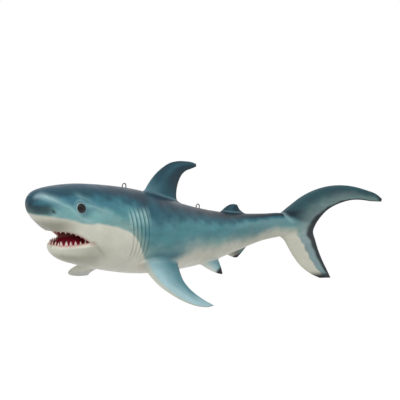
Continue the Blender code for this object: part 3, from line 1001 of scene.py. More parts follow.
    def gill_field(self, u: Array, w: Array) -> tuple[Array, Array, Array]:
        """Grooves of the gill slits.

        Formula: each slit is a bowed line; the groove is a bell curve of the distance from it,
        fading at the two ends of the slit.

        Args:
            u: stations.
            w: heights.

        Returns:
            Depth of groove from 0 to 1, raised edge behind it from 0 to 1, and the fade along the slit.
        """
        share = (self.gill_top[1] - w) / (self.gill_top[1] - self.gill_bottom[1])
        fade = ramp(0.0, 0.16, share) * ramp(1.0, 0.84, share)
        groove, lip = np.zeros_like(u), np.zeros_like(u)
        for index in range(self.gill_count):
            line = (self.gill_top[0] + (self.gill_bottom[0] - self.gill_top[0]) * share
                    + self.gill_pitch * index * (1.0 - 0.15 * share)
                    + self.gill_bow * np.sin(math.pi * np.clip(share, 0.0, 1.0)))
            away = u - line
            groove = np.maximum(groove, np.exp(-(away / self.gill_width) ** 2))
            lip = np.maximum(lip, np.exp(-((away + 0.0040) / 0.0027) ** 2))
        return groove * fade, lip * fade, fade

    def nostril_field(self, u: Array, w: Array) -> Array:
        """Slanted oval of the nostril, 1 in its middle."""
        across = (u - self.nostril[0]) + 0.55 * (w - self.nostril[1])
        return np.exp(-(across / 0.0028) ** 2 - ((w - self.nostril[1]) / 0.0034) ** 2)

    def pale_line_and_highlight_field(self, u: Array, w: Array, width: float) -> Array:
        """Raised pale ridges of the head, whose pale lines are partly the figurine's own pale paint and
        partly painted highlight: a bell curve of the height above each smooth line.

        Args:
            u: stations.
            w: heights.
            width: half width of the ridge.

        Returns:
            Array from 0 to 1.
        """
        ridge = np.zeros_like(u)
        for pale_line_and_highlight, strength in zip(self.pale_lines_and_highlights, self.pale_line_and_highlight_strengths):
            line = smooth_keys(pale_line_and_highlight, u)[..., 0]
            ends = ramp(pale_line_and_highlight[0][0] - 0.002, pale_line_and_highlight[0][0] + 0.010, u) * ramp(pale_line_and_highlight[-1][0], pale_line_and_highlight[-1][0] - 0.020, u)
            ridge = np.maximum(ridge, strength * np.exp(-((w - line) / width) ** 2) * ends)
        return ridge

    def relief(self, points: Array) -> Array:
        """Skin points moved along their normals: gills, brow, eye socket, nostril and lip swell.

        Args:
            points: straight points, in the last axis u, v and w.

        Returns:
            Array of the moved points.
        """
        u, v, w = points[..., 0], points[..., 1], points[..., 2]
        groove, lip, _ = self.gill_field(u, w)
        from_eye = np.hypot(u - self.eye[0], w - self.eye[1])
        ring = 0.0006 * np.exp(-((from_eye - 0.0098) / 0.0032) ** 2) + 0.0007 * self.pale_line_and_highlight_field(u, w, 0.0028)
        brow = 0.0014 * np.exp(-((w - 0.0765 + 0.10 * (u - 0.066)) / 0.0050) ** 2
                               - ((u - 0.066) / 0.026) ** 2)
        hole = -0.0026 * self.nostril_field(u, w)
        wing = np.exp(-((u - self.nostril[0] + 0.0035) / 0.0030) ** 2
                      - ((w - self.nostril[1] + 0.003) / 0.0030) ** 2) * 0.0008
        on_side = ramp(*self.side_edge, np.abs(v))
        shift = -self.gill_depth * groove + 0.0005 * lip + (ring + brow + hole + wing) * on_side
        return points + TRUNK.normal(points) * shift[..., None]

    def flank_paint(self, u: Array, w: Array, height: Array) -> Array:
        """Side of the trunk: pale above the border, then teal, shoulder, back and ridge.

        Args:
            u: stations.
            w: heights.
            height: share of the way from the border to the top.

        Returns:
            Array of colours.
        """
        wave = ripple(u, w, 0.011, 1.0)
        side = mixed(linear(PALETTE.low_flank), linear(PALETTE.flank), ramp(0.02, 0.40, height + 0.05 * wave))
        side = mixed(side, linear(PALETTE.fin_grey), 0.42 * ramp(0.40, 0.50, u))
        rise = height - 0.12 * ramp(0.42, 0.50, u)
        side = mixed(side, linear(PALETTE.shoulder), ramp(0.52, 0.74, rise + 0.06 * wave))
        side = mixed(side, linear(PALETTE.back), ramp(0.68, 0.90, rise + 0.05 * wave))
        return mixed(side, linear(PALETTE.ridge), 0.85 * ramp(0.80, 0.94, height) * ramp(0.30, 0.38, u))

    def face_paint(self, u: Array, w: Array, height: Array) -> Array:
        """Side of the head: cheek, then side and top of the head.

        Args:
            u: stations.
            w: heights.
            height: share of the way from the border to the top.

        Returns:
            Array of colours.
        """
        wave = ripple(u, w, 0.011, 1.0)
        face = mixed(linear(PALETTE.cheek), linear(PALETTE.head_side), ramp(0.18, 0.52, height + 0.06 * wave))
        return mixed(face, linear(PALETTE.head_top), ramp(0.52, 0.84, height + 0.06 * wave))

    def head_marks(self, upper: Array, u: Array, w: Array, on_side: Array) -> Array:
        """Snout patch, painted highlight along the snout, pale lines that are partly painted highlight, a
        painted highlight above the eye and painted shade round and below the eye.

        Args:
            upper: colours below the marks.
            u: stations.
            w: heights.
            on_side: 1 on the sides, 0 along the middle of the fish.

        Returns:
            Array of colours.
        """
        upper = self.snout_patch.over(upper, u, w)
        shine = np.exp(-((w - 0.0835 + 0.30 * (u - 0.010)) / 0.0050) ** 2) * (1.0 - ramp(0.015, 0.045, u))
        upper = mixed(upper, linear(PALETTE.fin_pale), 0.50 * shine * on_side)
        # pale head lines: partly the figurine's own pale paint, partly painted highlight along the ridges
        broken = 0.65 + 0.35 * ripple(u, w, 0.006, 4.0)
        glow = 0.24 * self.pale_line_and_highlight_field(u, w, 0.0070) + 0.34 * broken * self.pale_line_and_highlight_field(u, w, 0.0015)
        upper = mixed(upper, linear(PALETTE.pale_line_and_highlight), glow * on_side)
        from_eye = np.hypot(u - self.eye[0], w - self.eye[1])
        # painted highlight on an arc above the eye
        brow = np.exp(-((from_eye - 0.0120) / 0.0018) ** 2) * ramp(-0.002, 0.006, w - self.eye[1])
        upper = mixed(upper, linear(PALETTE.pale_line_and_highlight), 0.20 * brow * on_side)
        # painted shade below and behind the eye
        socket = np.exp(-(np.hypot(u - self.eye[0] - 0.006, w - self.eye[1] + 0.006) / 0.0090) ** 2)
        upper = mixed(upper, linear(PALETTE.head_side), 0.55 * socket * on_side)
        # painted shade darkening the skin in the hollow round the eye
        painted_hollow_shade = np.exp(-(from_eye / 0.0074) ** 6)
        return upper * (1.0 - 0.85 * painted_hollow_shade * on_side)[..., None]

    def belly_paint(self, u: Array, v: Array, w: Array, groove: Array) -> Array:
        """Throat and belly, with painted shade in the creases of the jaw, under the snout, at chin, below the
        mouth corner and at the hips, and in the gill grooves.

        Args:
            u: stations.
            v: distances across.
            w: heights.
            groove: depth of the gill grooves from 0 to 1.

        Returns:
            Array of colours.
        """
        lower = mixed(linear(PALETTE.throat), linear(PALETTE.belly), ramp(0.10, 0.20, u))
        fold = u - 0.0880 - 0.95 * (0.0030 - w)
        crease = (np.exp(-(fold / 0.0062) ** 2) * ramp(0.008, 0.002, w) * ramp(-0.034, -0.012, w)
                  * ramp(0.030, 0.040, np.abs(v)))
        under = ramp(0.052, 0.036, w) * ramp(0.004, 0.011, w) * ramp(0.070, 0.025, u)
        chin = ramp(-0.009, -0.021, w) * ramp(0.125, 0.090, u)
        cheek = np.exp(-((u - 0.084) / 0.026) ** 2) * ramp(0.003, -0.008, w)
        hips = ramp(0.26, 0.33, u) * ramp(-0.070, -0.052, w)
        # painted shade: the strongest of the crease, snout-underside, chin, below-corner and hip masks
        dull = np.maximum.reduce((0.65 * crease, 0.85 * under, 0.62 * chin, 0.55 * cheek, 0.28 * hips))
        lower = mixed(lower, linear(PALETTE.shade), dull)
        # painted shade in the gill grooves
        lower = lower * (1.0 - 0.20 * groove)[..., None]
        return self.corner_blush.over(lower, u, w)

    def paint(self, points: Array) -> tuple[Array, Array, Array]:
        """Countershading of the outer skin.

        Args:
            points: straight points.

        Returns:
            Upper colour, lower colour and the height above the border in units of its softness.
        """
        u, v, w = points[..., 0], points[..., 1], points[..., 2]
        top = TRUNK.shape(u)[0]
        head = 1.0 - ramp(*self.head_end, u)
        on_side = ramp(*self.side_edge, np.abs(v))
        border = smooth_keys(self.border, u)[..., 0] + (0.0022 - 0.0010 * head) * ripple(u, v, 0.014, 1.0)
        height = np.clip((w - border) / (top - border), 0.0, 1.0)
        upper = mixed(self.flank_paint(u, w, height), self.face_paint(u, w, height), head)
        upper = self.behind_gills.over(upper, u, w)
        armpit = np.exp(-((u - 0.246) / 0.042) ** 4) * ramp(-0.018, -0.040, w)
        upper = mixed(upper, linear(PALETTE.fin_teal), 0.85 * armpit)
        upper = self.head_marks(upper, u, w, on_side)
        groove, bar, fade = self.gill_field(u, w)
        pale = fade * ramp(0.152, 0.160, u) * (1.0 - ramp(0.200, 0.208, u)) * ramp(0.004, 0.030, w)
        upper = mixed(upper, linear(PALETTE.cheek), 0.42 * pale)
        upper = mixed(upper, linear(PALETTE.pale_line_and_highlight), 0.70 * bar * pale * ramp(0.010, 0.034, w))
        # painted shade in the gill grooves
        upper = upper * (1.0 - 0.30 * groove)[..., None]
        upper = self.nostril_glint.over(upper, u, w, on_side)
        # painted shade in the nostril pit
        upper = upper * (1.0 - 0.92 * self.nostril_field(u, w) * on_side)[..., None]
        soft = 0.0030 + 0.0085 * ramp(0.16, 0.24, u)
        return upper, self.belly_paint(u, v, w, groove), np.clip((w - border) / soft, -6.0, 6.0)

    def outer_patch(self, grid: Array) -> Patch:
        """Outer sheet with its relief, its paint and the swell and pink edge of the lip.

        Args:
            grid: sheet of stations by points across.

        Returns:
            Patch of the sheet.
        """
        upper, lower, line = self.paint(grid)
        gaps = np.linalg.norm(np.diff(grid, axis=1), axis=2)
        run = np.concatenate((np.zeros((len(grid), 1)), np.cumsum(gaps, axis=1)), axis=1)
        edge = np.minimum(run, run[:, -1:] - run)
        u = grid[..., 0]
        open_mouth = (ramp(self.corner + 0.004, self.corner - 0.006, u)
                      * ramp(self.jaw_tip + 0.001, self.jaw_tip + 0.006, u))
        swell = np.exp(-((edge - 0.0042) / 0.0030) ** 2) * open_mouth * 0.0014
        pink = (1.0 - ramp(0.0008, 0.0026, edge)) * open_mouth
        lower = mixed(lower, linear(PALETTE.lip), 0.7 * pink)
        shown = self.relief(grid) + TRUNK.normal(grid) * swell[..., None]
        shown[:, 0] = grid[:, 0]
        shown[:, -1] = grid[:, -1]
        return Patch(shown.reshape(-1, 3), grid_quads(*grid.shape[:2]), upper.reshape(-1, 3),
                     lower.reshape(-1, 3), line.ravel())

    def inner_patch(self, grid: Array, tongue: bool) -> Patch:
        """Inner sheet painted from the pink lip to the deep red throat.

        Args:
            grid: sheet of stations by points across.
            tongue: whether it is the floor with the tongue.

        Returns:
            Patch of the sheet.
        """
        u, v = grid[..., 0], grid[..., 1]
        half = np.abs(grid[:, :1, 1])
        edge = half - np.abs(v)
        colour = mixed(linear(PALETTE.lip), linear(PALETTE.gum), ramp(0.0004, 0.0012, edge))
        inside = PALETTE.mouth if tongue else PALETTE.palate
        colour = mixed(colour, linear(inside), ramp(0.0040, 0.0062, edge))
        colour = mixed(colour, linear(PALETTE.deep), ramp(0.090, 0.125, u))
        if tongue:
            on = (1.0 - ramp(0.012, 0.017, np.abs(v))) * ramp(0.056, 0.062, u)
            colour = mixed(colour, linear(PALETTE.tongue), on)
        flat = colour.reshape(-1, 3)
        return Patch(grid.reshape(-1, 3), grid_quads(*grid.shape[:2]), flat, flat, np.zeros(len(flat)))

    def lips(self) -> tuple[Array, Array]:
        """Right halves of the upper and lower lip lines, front to corner.

        Returns:
            Points of the upper line and of the lower line.
        """
        front = self.lip_front()
        upper = self.back_sheet(self.mouth_stations(front))[:, 0]
        low_u = self.mouth_stations(self.jaw_tip)
        lower = self.belly_sheet(low_u, upper[-1:])[:, 0]
        return upper, lower

    def build(self, finish: bpy.types.Material) -> bpy.types.Object:
        """Weld the four sheets into one closed skin.

        Args:
            finish: material of the piece.

        Returns:
            The finished object.
        """
        front = self.lip_front()
        nose = self.snout_start + (front - self.snout_start) * np.linspace(0.0, 1.0, 34) ** 1.5
        gape = self.mouth_stations(front)
        rear = self.rear_stations()
        back = self.back_sheet(np.concatenate((nose[:-1], gape[:-1], rear)))
        back[0] = back[0].mean(axis=0)
        back[-1] = self.tail_end
        low = np.concatenate((self.mouth_stations(self.jaw_tip)[:-1], rear))
        behind = back[len(nose) - 1 + len(gape) - 1:]
        belly = self.belly_sheet(low, behind[:, 0])
        belly[0] = belly[0, 0] * np.array((1.0, 0.0, 1.0))
        belly[-1] = back[-1, :1]
        belly[len(low) - len(rear):, 0] = behind[:, 0]
        belly[len(low) - len(rear):, -1] = behind[:, -1]

        deep = np.linspace(0.0, 1.0, 26)[1:] ** 0.8
        width = behind[0, 0, 1] * np.sqrt(np.maximum(1.0 - deep**2, 0.0))
        cave = np.stack((self.corner + (self.throat - self.corner) * deep, width,
                         np.full_like(deep, behind[0, 0, 2])), axis=-1)
        lip_up = back[len(nose) - 1:len(nose) - 1 + len(gape), 0]
        ends_up = np.vstack((lip_up, cave))
        u = ends_up[:, 0]
        vault = (self.palate_height * ramp(lip_up[0, 0] - 0.002, 0.066, u)
                 * (1.0 - ramp(0.100, self.throat, u)))
        palate = self.inner_sheet(ends_up, vault, self.palate_rim)
        lip_low = belly[:len(low) - len(rear) + 1, 0]
        ends_low = np.vstack((lip_low, cave))
        u = ends_low[:, 0]
        sink = -self.floor_depth * ramp(self.jaw_tip + 0.002, 0.058, u) * (1.0 - ramp(0.100, self.throat, u))
        floor = self.inner_sheet(ends_low, sink, self.floor_rim)
        hump = (1.0 - (floor[..., 1] / self.tongue_width) ** 2
                - ((floor[..., 0] - self.tongue_middle) / self.tongue_length) ** 2)
        floor[..., 2] += self.tongue_height * np.maximum(hump, 0.0) ** 0.5
        patches = [self.outer_patch(back), self.outer_patch(belly), self.inner_patch(palate, False),
                   self.inner_patch(floor, True)]
        return make_piece("body_skin", joined(patches), finish, "body", 0)


@dataclass
class Fin:
    """One fin: closed aerofoil sheet between a leading and a trailing edge, with a root fillet."""

    name: str
    lead: Keys
    trail: Keys
    root: float
    tip: float
    fillet: float
    base: tuple[float, float] | None = None
    droop: float = 0.0
    pitch: tuple[float, float] = (0.0, 0.0)
    side: Side = Side.RIGHT
    rings: int = 48
    around: int = 36
    fade: float = 0.004

    def grid(self) -> tuple[Array, Array, Array, Array]:
        """Points of the fin with their shares along span and chord and the upper or lower face.

        Formula: chords run between even points of the two edges; across them the half thickness is
        an aerofoil in the chord share, thinner towards the tip; near the trunk every point is moved
        out of the chord section by the gap between a circle and its tangent.

        Returns:
            Points, span share, chord share and face sign, all on the grid.
        """
        lead = even_outline(self.lead, self.rings)
        trail = even_outline(self.trail, self.rings)
        span = np.linspace(0.0, 1.0, self.rings)[:, None]
        angle, chord, foil = aerofoil(self.around)
        flat = lead[:, None] + (trail - lead)[:, None] * chord[..., None]
        thick = self.tip + (self.root - self.tip) * (1.0 - span) ** 1.6
        close = np.sqrt(np.maximum(1.0 - span**14, 0.0)) * np.sqrt(np.maximum(1.0 - (1.0 - span) ** 60, 0.0))
        offset = (0.5 * thick * foil * np.sign(np.sin(angle)) + 0.0006 * np.sin(angle)) * close
        if self.base is None:
            normal = np.array((0.0, 1.0, 0.0))
            points = np.stack((flat[..., 0], offset, flat[..., 1]), axis=-1)
        else:
            normal = np.array((self.pitch[0], self.droop, 1.0))
            normal /= np.linalg.norm(normal)
            height = (self.base[1] - self.droop * (flat[..., 1] - self.base[0])
                      - self.pitch[0] * (flat[..., 0] - self.pitch[1]))
            points = np.stack((flat[..., 0], flat[..., 1], height), axis=-1) + offset[..., None] * normal
        gap = np.clip(TRUNK.clearance(points), 0.0, self.fillet)
        flare = self.fillet - np.sqrt(np.maximum(self.fillet**2 - (self.fillet - gap) ** 2, 0.0))
        flare = flare * close
        move = -np.cos(angle)[..., None] * np.array((1.0, 0.0, 0.0)) + np.sin(angle)[..., None] * normal
        points = points + move * flare[..., None]
        if self.base is not None:
            points = points * np.array((1.0, self.side.value, 1.0))
        shape = points.shape[:2]
        return points, np.broadcast_to(span, shape), np.broadcast_to(chord, shape), np.broadcast_to(
            np.sign(np.sin(angle)), shape)

    def paint(self, points: Array, span: Array, chord: Array, face: Array) -> Array:
        """Colour of a plain dark fin with a painted highlight band along it and a pale line round its foot.

        Args:
            points: straight points, in the last axis u, v and w.
            span: share from root to tip.
            chord: share from leading to trailing edge.
            face: not used.

        Returns:
            Array of colours.
        """
        colour = mixed(linear(PALETTE.shoulder), linear(PALETTE.fin_dark), ramp(0.05, 0.45, span))
        # painted highlight: a lighter band a third of the way back from the leading edge
        colour = mixed(colour, linear(PALETTE.head_side), 0.45 * np.exp(-((chord - 0.30) / 0.16) ** 2))
        foot = ramp(0.30, 0.05, span) * ramp(0.45, 0.15, chord)
        colour = mixed(colour, linear(PALETTE.fin_mid), 0.45 * foot)
        base = TRUNK.clearance(points)
        colour = mixed(colour, linear(PALETTE.fin_pale), 0.28 * np.exp(-((base - 0.0030) / 0.0012) ** 2))
        colour = mixed(colour, linear(PALETTE.fin_black), 0.85 * ramp(0.90, 0.98, chord))
        return colour

    def build(self, skin: Skin, finish: bpy.types.Material) -> bpy.types.Object:
        """Make the fin piece, its foot taking the paint of the skin beside it.

        Args:
            skin: skin that the piece stands on.
            finish: material of the piece.

        Returns:
            The finished object.
        """
        points, span, chord, face = self.grid()
        colour = self.paint(points, span, chord, face)
        upper, lower, line = skin.paint(points)
        own = ramp(0.0, self.fade, TRUNK.clearance(points))
        patch = Patch(points.reshape(-1, 3), grid_quads(self.rings, self.around, 0, True),
                      mixed(upper, colour, own).reshape(-1, 3), mixed(lower, colour, own).reshape(-1, 3),
                      line.ravel())
        return make_piece(self.name, patch, finish, "body")


@dataclass
class PaleFin(Fin):
    """Small fin of the underside, pale with a dark tip."""

    colour: Colour = PALETTE.fin_pale

    def paint(self, points: Array, span: Array, chord: Array, face: Array) -> Array:
        """Pale grey with the tip and the rear edge dark.

        Args:
            points: not used.
            span: share from root to tip.
            chord: share from leading to trailing edge.
            face: not used.

        Returns:
            Array of colours.
        """
        back = ramp(0.05, 0.60, chord + 0.35 * span - 0.12)
        toned = ramp(0.10, 0.40, span) * (0.25 + 0.75 * back)
        colour = mixed(linear(PALETTE.belly), linear(self.colour), toned)
        rear = ramp(0.45, 0.95, chord) * ramp(0.2, 0.6, span)
        colour = mixed(colour, linear(PALETTE.fin_teal), 0.75 * rear)
        colour = mixed(colour, linear(PALETTE.fin_black), ramp(0.76, 0.88, span + 0.14 * chord))
        return colour


@dataclass
class BreastFin(Fin):
    """Breast fin: pale front, teal rear band, cream leading edge and a pale underside."""

    def paint(self, points: Array, span: Array, chord: Array, face: Array) -> Array:
        """Bands along the chord above, near white below with a dark tip edge.

        Args:
            points: not used.
            span: share from root to tip.
            chord: share from leading to trailing edge.
            face: 1 above, -1 below.

        Returns:
            Array of colours.
        """
        wave = 0.05 * ripple(span * 0.2, chord * 0.05, 0.02, 2.0)
        above = mixed(linear(PALETTE.fin_pale), linear(PALETTE.fin_mid), ramp(0.22, 0.55, chord + wave))
        rear = 0.60 - 0.16 * (1.0 - span)
        above = mixed(above, linear(PALETTE.fin_teal), ramp(0.0, 0.34, chord + wave - rear))
        above = mixed(above, linear(PALETTE.fin_pale), 0.7 * ramp(0.72, 0.92, span))
        band = 0.16 - 0.12 * span
        above = mixed(linear(PALETTE.strip), above, ramp(0.5, 1.1, chord / band))
        above = mixed(above, linear(PALETTE.fin_black), 0.6 * ramp(0.95, 0.99, chord))
        below = mixed(linear(PALETTE.underfin), linear(PALETTE.strip), ramp(0.5, 0.9, span))
        below = mixed(below, linear(PALETTE.fin_black), 0.7 * ramp(0.92, 0.98, span))
        return np.where((face > 0)[..., None], above, below)


@dataclass
class Tail:
    """Crescent tail: one sheet from the upper tip round the fork to the lower tip."""

    lead: Keys = ((0.773, 0.0275), (0.7615, 0.0373), (0.740, 0.0458), (0.715, 0.0528), (0.689, 0.0554),
                  (0.665, 0.0534), (0.640, 0.0465), (0.614, 0.0336), (0.589, 0.0151), (0.574, 0.0031),
                  (0.558, -0.0100), (0.552, -0.0280), (0.579, -0.0538), (0.590, -0.0732), (0.600, -0.0896),
                  (0.616, -0.1091), (0.637, -0.1245), (0.653, -0.1317))
    trail: Keys = ((0.772, 0.0225), (0.749, 0.0235), (0.731, 0.0260), (0.715, 0.0260), (0.690, 0.0196),
                   (0.666, 0.0066), (0.651, -0.0094), (0.642, -0.0237), (0.6375, -0.0365), (0.642, -0.0546),
                   (0.649, -0.0768), (0.658, -0.0983), (0.667, -0.1166), (0.674, -0.1314))
    thick: Keys = ((0.0, 0.0024), (0.15, 0.0050), (0.35, 0.0095), (0.50, 0.0145), (0.60, 0.0165),
                   (0.70, 0.0140), (0.85, 0.0078), (1.0, 0.0024))
    rings: int = 120
    around: int = 64
    blend: float = 0.006

    def grid(self) -> tuple[Array, Array, Array]:
        """Points of the tail with their shares from tip to tip and along the chord.

        Formula: chords between the two edges with an aerofoil half thickness, and over the stalk
        of the tail the rounded larger of that and of the half width of the trunk.

        Returns:
            Points, share from tip to tip and chord share, on the grid.
        """
        lead = even_outline(self.lead, self.rings)
        trail = even_outline(self.trail, self.rings)
        share = np.linspace(0.0, 1.0, self.rings)
        angle, chord, foil = aerofoil(self.around)
        flat = lead[:, None] + (trail - lead)[:, None] * chord[..., None]
        thick = smooth_keys(self.thick, share)[:, :1]
        close = np.sqrt(np.maximum(1.0 - (2.0 * share[:, None] - 1.0) ** 28, 0.0))
        half = (0.5 * thick * foil + 0.0006 * np.abs(np.sin(angle))) * close
        stalk = TRUNK.side(flat[..., 0], flat[..., 1])
        full = smooth_max(half, stalk - 0.0002, self.blend * np.clip(stalk / 0.004, 0.0, 1.0))
        full = np.where(stalk > 0.0, full, half) * ramp(0.0, 0.10, chord)
        full = np.maximum(full, half)
        points = np.stack((flat[..., 0], full * np.sign(np.sin(angle)), flat[..., 1]), axis=-1)
        shape = points.shape[:2]
        return points, np.broadcast_to(share[:, None], shape), np.broadcast_to(chord, shape)

    def paint(self, skin: Skin, points: Array, share: Array, chord: Array) -> tuple[Array, Array, Array]:
        """Trunk paint on the stalk, dark teal upper lobe, cream front of the lower lobe, black rear band, and
        a painted highlight in a V on the stalk.

        Args:
            skin: skin that the piece stands on.
            points: straight points, in the last axis u, v and w.
            share: share from the upper tip to the lower.
            chord: share from leading to trailing edge.

        Returns:
            Upper colour, lower colour and the height above the border in units of its softness.
        """
        u, w = points[..., 0], points[..., 2]
        trunk_upper, trunk_lower, trunk_line = skin.paint(points)
        on_lobe = np.maximum.reduce((ramp(0.592, 0.626, u), ramp(-0.034, -0.050, w), ramp(0.000, 0.010, w)))
        wave = ripple(u, w, 0.012, 3.0)
        toned = ramp(0.20, 0.92, chord + 0.06 * wave)
        upper_lobe = mixed(linear(PALETTE.lobe_dark), linear(PALETTE.fin_grey), toned)
        lower_lobe = mixed(linear(PALETTE.lobe_grey), linear(PALETTE.flank), 0.25 * ramp(0.60, 0.80, share))
        blue = mixed(upper_lobe, lower_lobe, ramp(-0.010, -0.034, w))
        fork = ramp(0.36, 0.58, share)
        dark = np.maximum.reduce((ramp(0.87 - 0.08 * fork, 0.95 - 0.05 * fork, chord + 0.03 * wave),
                                  ramp(0.93, 0.97, share), ramp(0.045, 0.010, share)))
        blue = mixed(blue, linear(PALETTE.fin_black), 0.92 * dark)
        cream = mixed(linear(PALETTE.cream), linear(PALETTE.fin_black), ramp(0.92, 0.98, share))
        line = (chord - 0.58 + 0.07 * ripple(u, w, 0.010, 5.0)) / 0.05
        above = (w + 0.036) / 0.003
        lobe_line = np.clip(np.maximum(line, above), -6.0, 6.0)
        # painted highlight in a V where the leading edges of the lobes run into the stalk
        painted_keel_highlight = (np.exp(-((u - 0.577 + 1.06 * (w + 0.001)) / 0.0050) ** 2) * ramp(-0.021, -0.014, w)
               * ramp(0.008, 0.000, w))
        shown_upper = mixed(mixed(trunk_upper, blue, on_lobe), linear(PALETTE.fin_pale), 0.50 * painted_keel_highlight)
        return (shown_upper, mixed(trunk_lower, cream, on_lobe),
                trunk_line + (lobe_line - trunk_line) * on_lobe)

    def build(self, skin: Skin, finish: bpy.types.Material) -> bpy.types.Object:
        """Make the tail piece.

        Args:
            skin: skin that the piece stands on.
            finish: material of the piece.

        Returns:
            The finished object.
        """
        points, share, chord = self.grid()
        upper, lower, line = self.paint(skin, points, share, chord)
        patch = Patch(points.reshape(-1, 3), grid_quads(self.rings, self.around, 0, True),
                      upper.reshape(-1, 3), lower.reshape(-1, 3), line.ravel())
        return make_piece("tail_fin", patch, finish, "body")


@dataclass
class Teeth:
    """Rows of small pointed teeth set just inside the lip lines."""

    count: int = 16
    upper_radius: float = 0.0020
    lower_radius: float = 0.0034
    upper_height: float = 0.0036
    lower_height: float = 0.0074
    inset: float = 0.0030
    front_gap: float = 0.0035
    sunk: float = 0.0012
    ends: tuple[float, float] = (0.06, 0.94)
    middle: float = 0.085
    flatness: float = 0.72
    hook: float = 0.30
    rings: int = 7
    around: int = 10

    def row(self, half: Array, rise: float, height: float, radius: float) -> Patch:
        """One row.

        Formula: the lip line is cut at even lengths; at each place a cone, flattened across the
        row and hooked towards the throat by the square of its height, stands on the rim. The
        sizes follow a bell curve from the front to the corner, with a small wave.

        Args:
            half: right half of the lip line, front to corner.
            rise: 1 for teeth that point up, -1 for down.
            height: height of the front teeth.
            radius: half width of their roots.

        Returns:
            Patch of all teeth of the row.
        """
        line = np.vstack((half[::-1], (half * np.array((1.0, -1.0, 1.0)))[1:]))
        shares = np.linspace(*self.ends, self.count)
        spots = even_rows(line[None], shares)[0]
        ahead = even_rows(line[None], shares + 0.005)[0]
        along = ahead - spots
        along[:, 2] = 0.0
        along /= np.linalg.norm(along, axis=1, keepdims=True)
        inward = np.stack((along[:, 1], -along[:, 0], np.zeros(len(along))), axis=-1)
        toward = np.array((self.middle, 0.0, 0.0)) - spots * np.array((1.0, 1.0, 0.0))
        inward *= np.sign((inward * toward).sum(axis=1, keepdims=True))
        place = np.abs(np.linspace(-1.0, 1.0, self.count))
        size = 0.62 + 0.38 * np.exp(-((place - 0.45) / 0.34) ** 2)
        size = size * (1.0 + 0.10 * np.cos(np.arange(self.count) * 2.4))
        s = np.linspace(0.0, 1.0, self.rings)[:, None]
        turn = circle_angles(self.around)[None, :]
        girth = (1.0 - s) ** 0.85
        wide, deep = girth * np.cos(turn), self.flatness * girth * np.sin(turn)
        hook = self.hook * s**2
        reach = size[:, None, None]
        body = spots[:, None, None] + inward[:, None, None] * self.inset
        body = body + along[:, None, None] * (radius * reach * wide)[..., None]
        body = body + inward[:, None, None] * (radius * reach * deep + height * reach * hook)[..., None]
        up = rise * (s * (height * reach + self.sunk) - self.sunk) + 0.0 * turn
        body = body + np.stack((np.zeros_like(up), np.zeros_like(up), up), axis=-1)
        cells = grid_quads(self.rings, self.around, 0, True)
        starts = np.arange(self.count) * self.rings * self.around
        quads = (cells[None] + starts[:, None, None]).reshape(-1, 4)
        points = body.reshape(-1, 3)
        tip = np.broadcast_to(linear(PALETTE.tooth), points.shape)
        root = np.broadcast_to(linear(PALETTE.tooth_root), points.shape)
        share = np.broadcast_to(s[None], body.shape[:3]).reshape(-1)
        return Patch(points, quads, tip, root, share)

    def build(self, skin: Skin, finish: bpy.types.Material) -> None:
        """Make the two rows.

        Args:
            skin: skin with the lip lines.
            finish: material of the piece.
        """
        upper, lower = skin.lips()
        for name, half, rise, height, radius in (
                ("upper_teeth", upper, -1.0, self.upper_height, self.upper_radius),
                ("lower_teeth", lower, 1.0, self.lower_height, self.lower_radius)):
            half = half[half[:, 0] > half[0, 0] + self.front_gap]
            make_piece(name, self.row(half, rise, height, radius), finish, "body", 0)


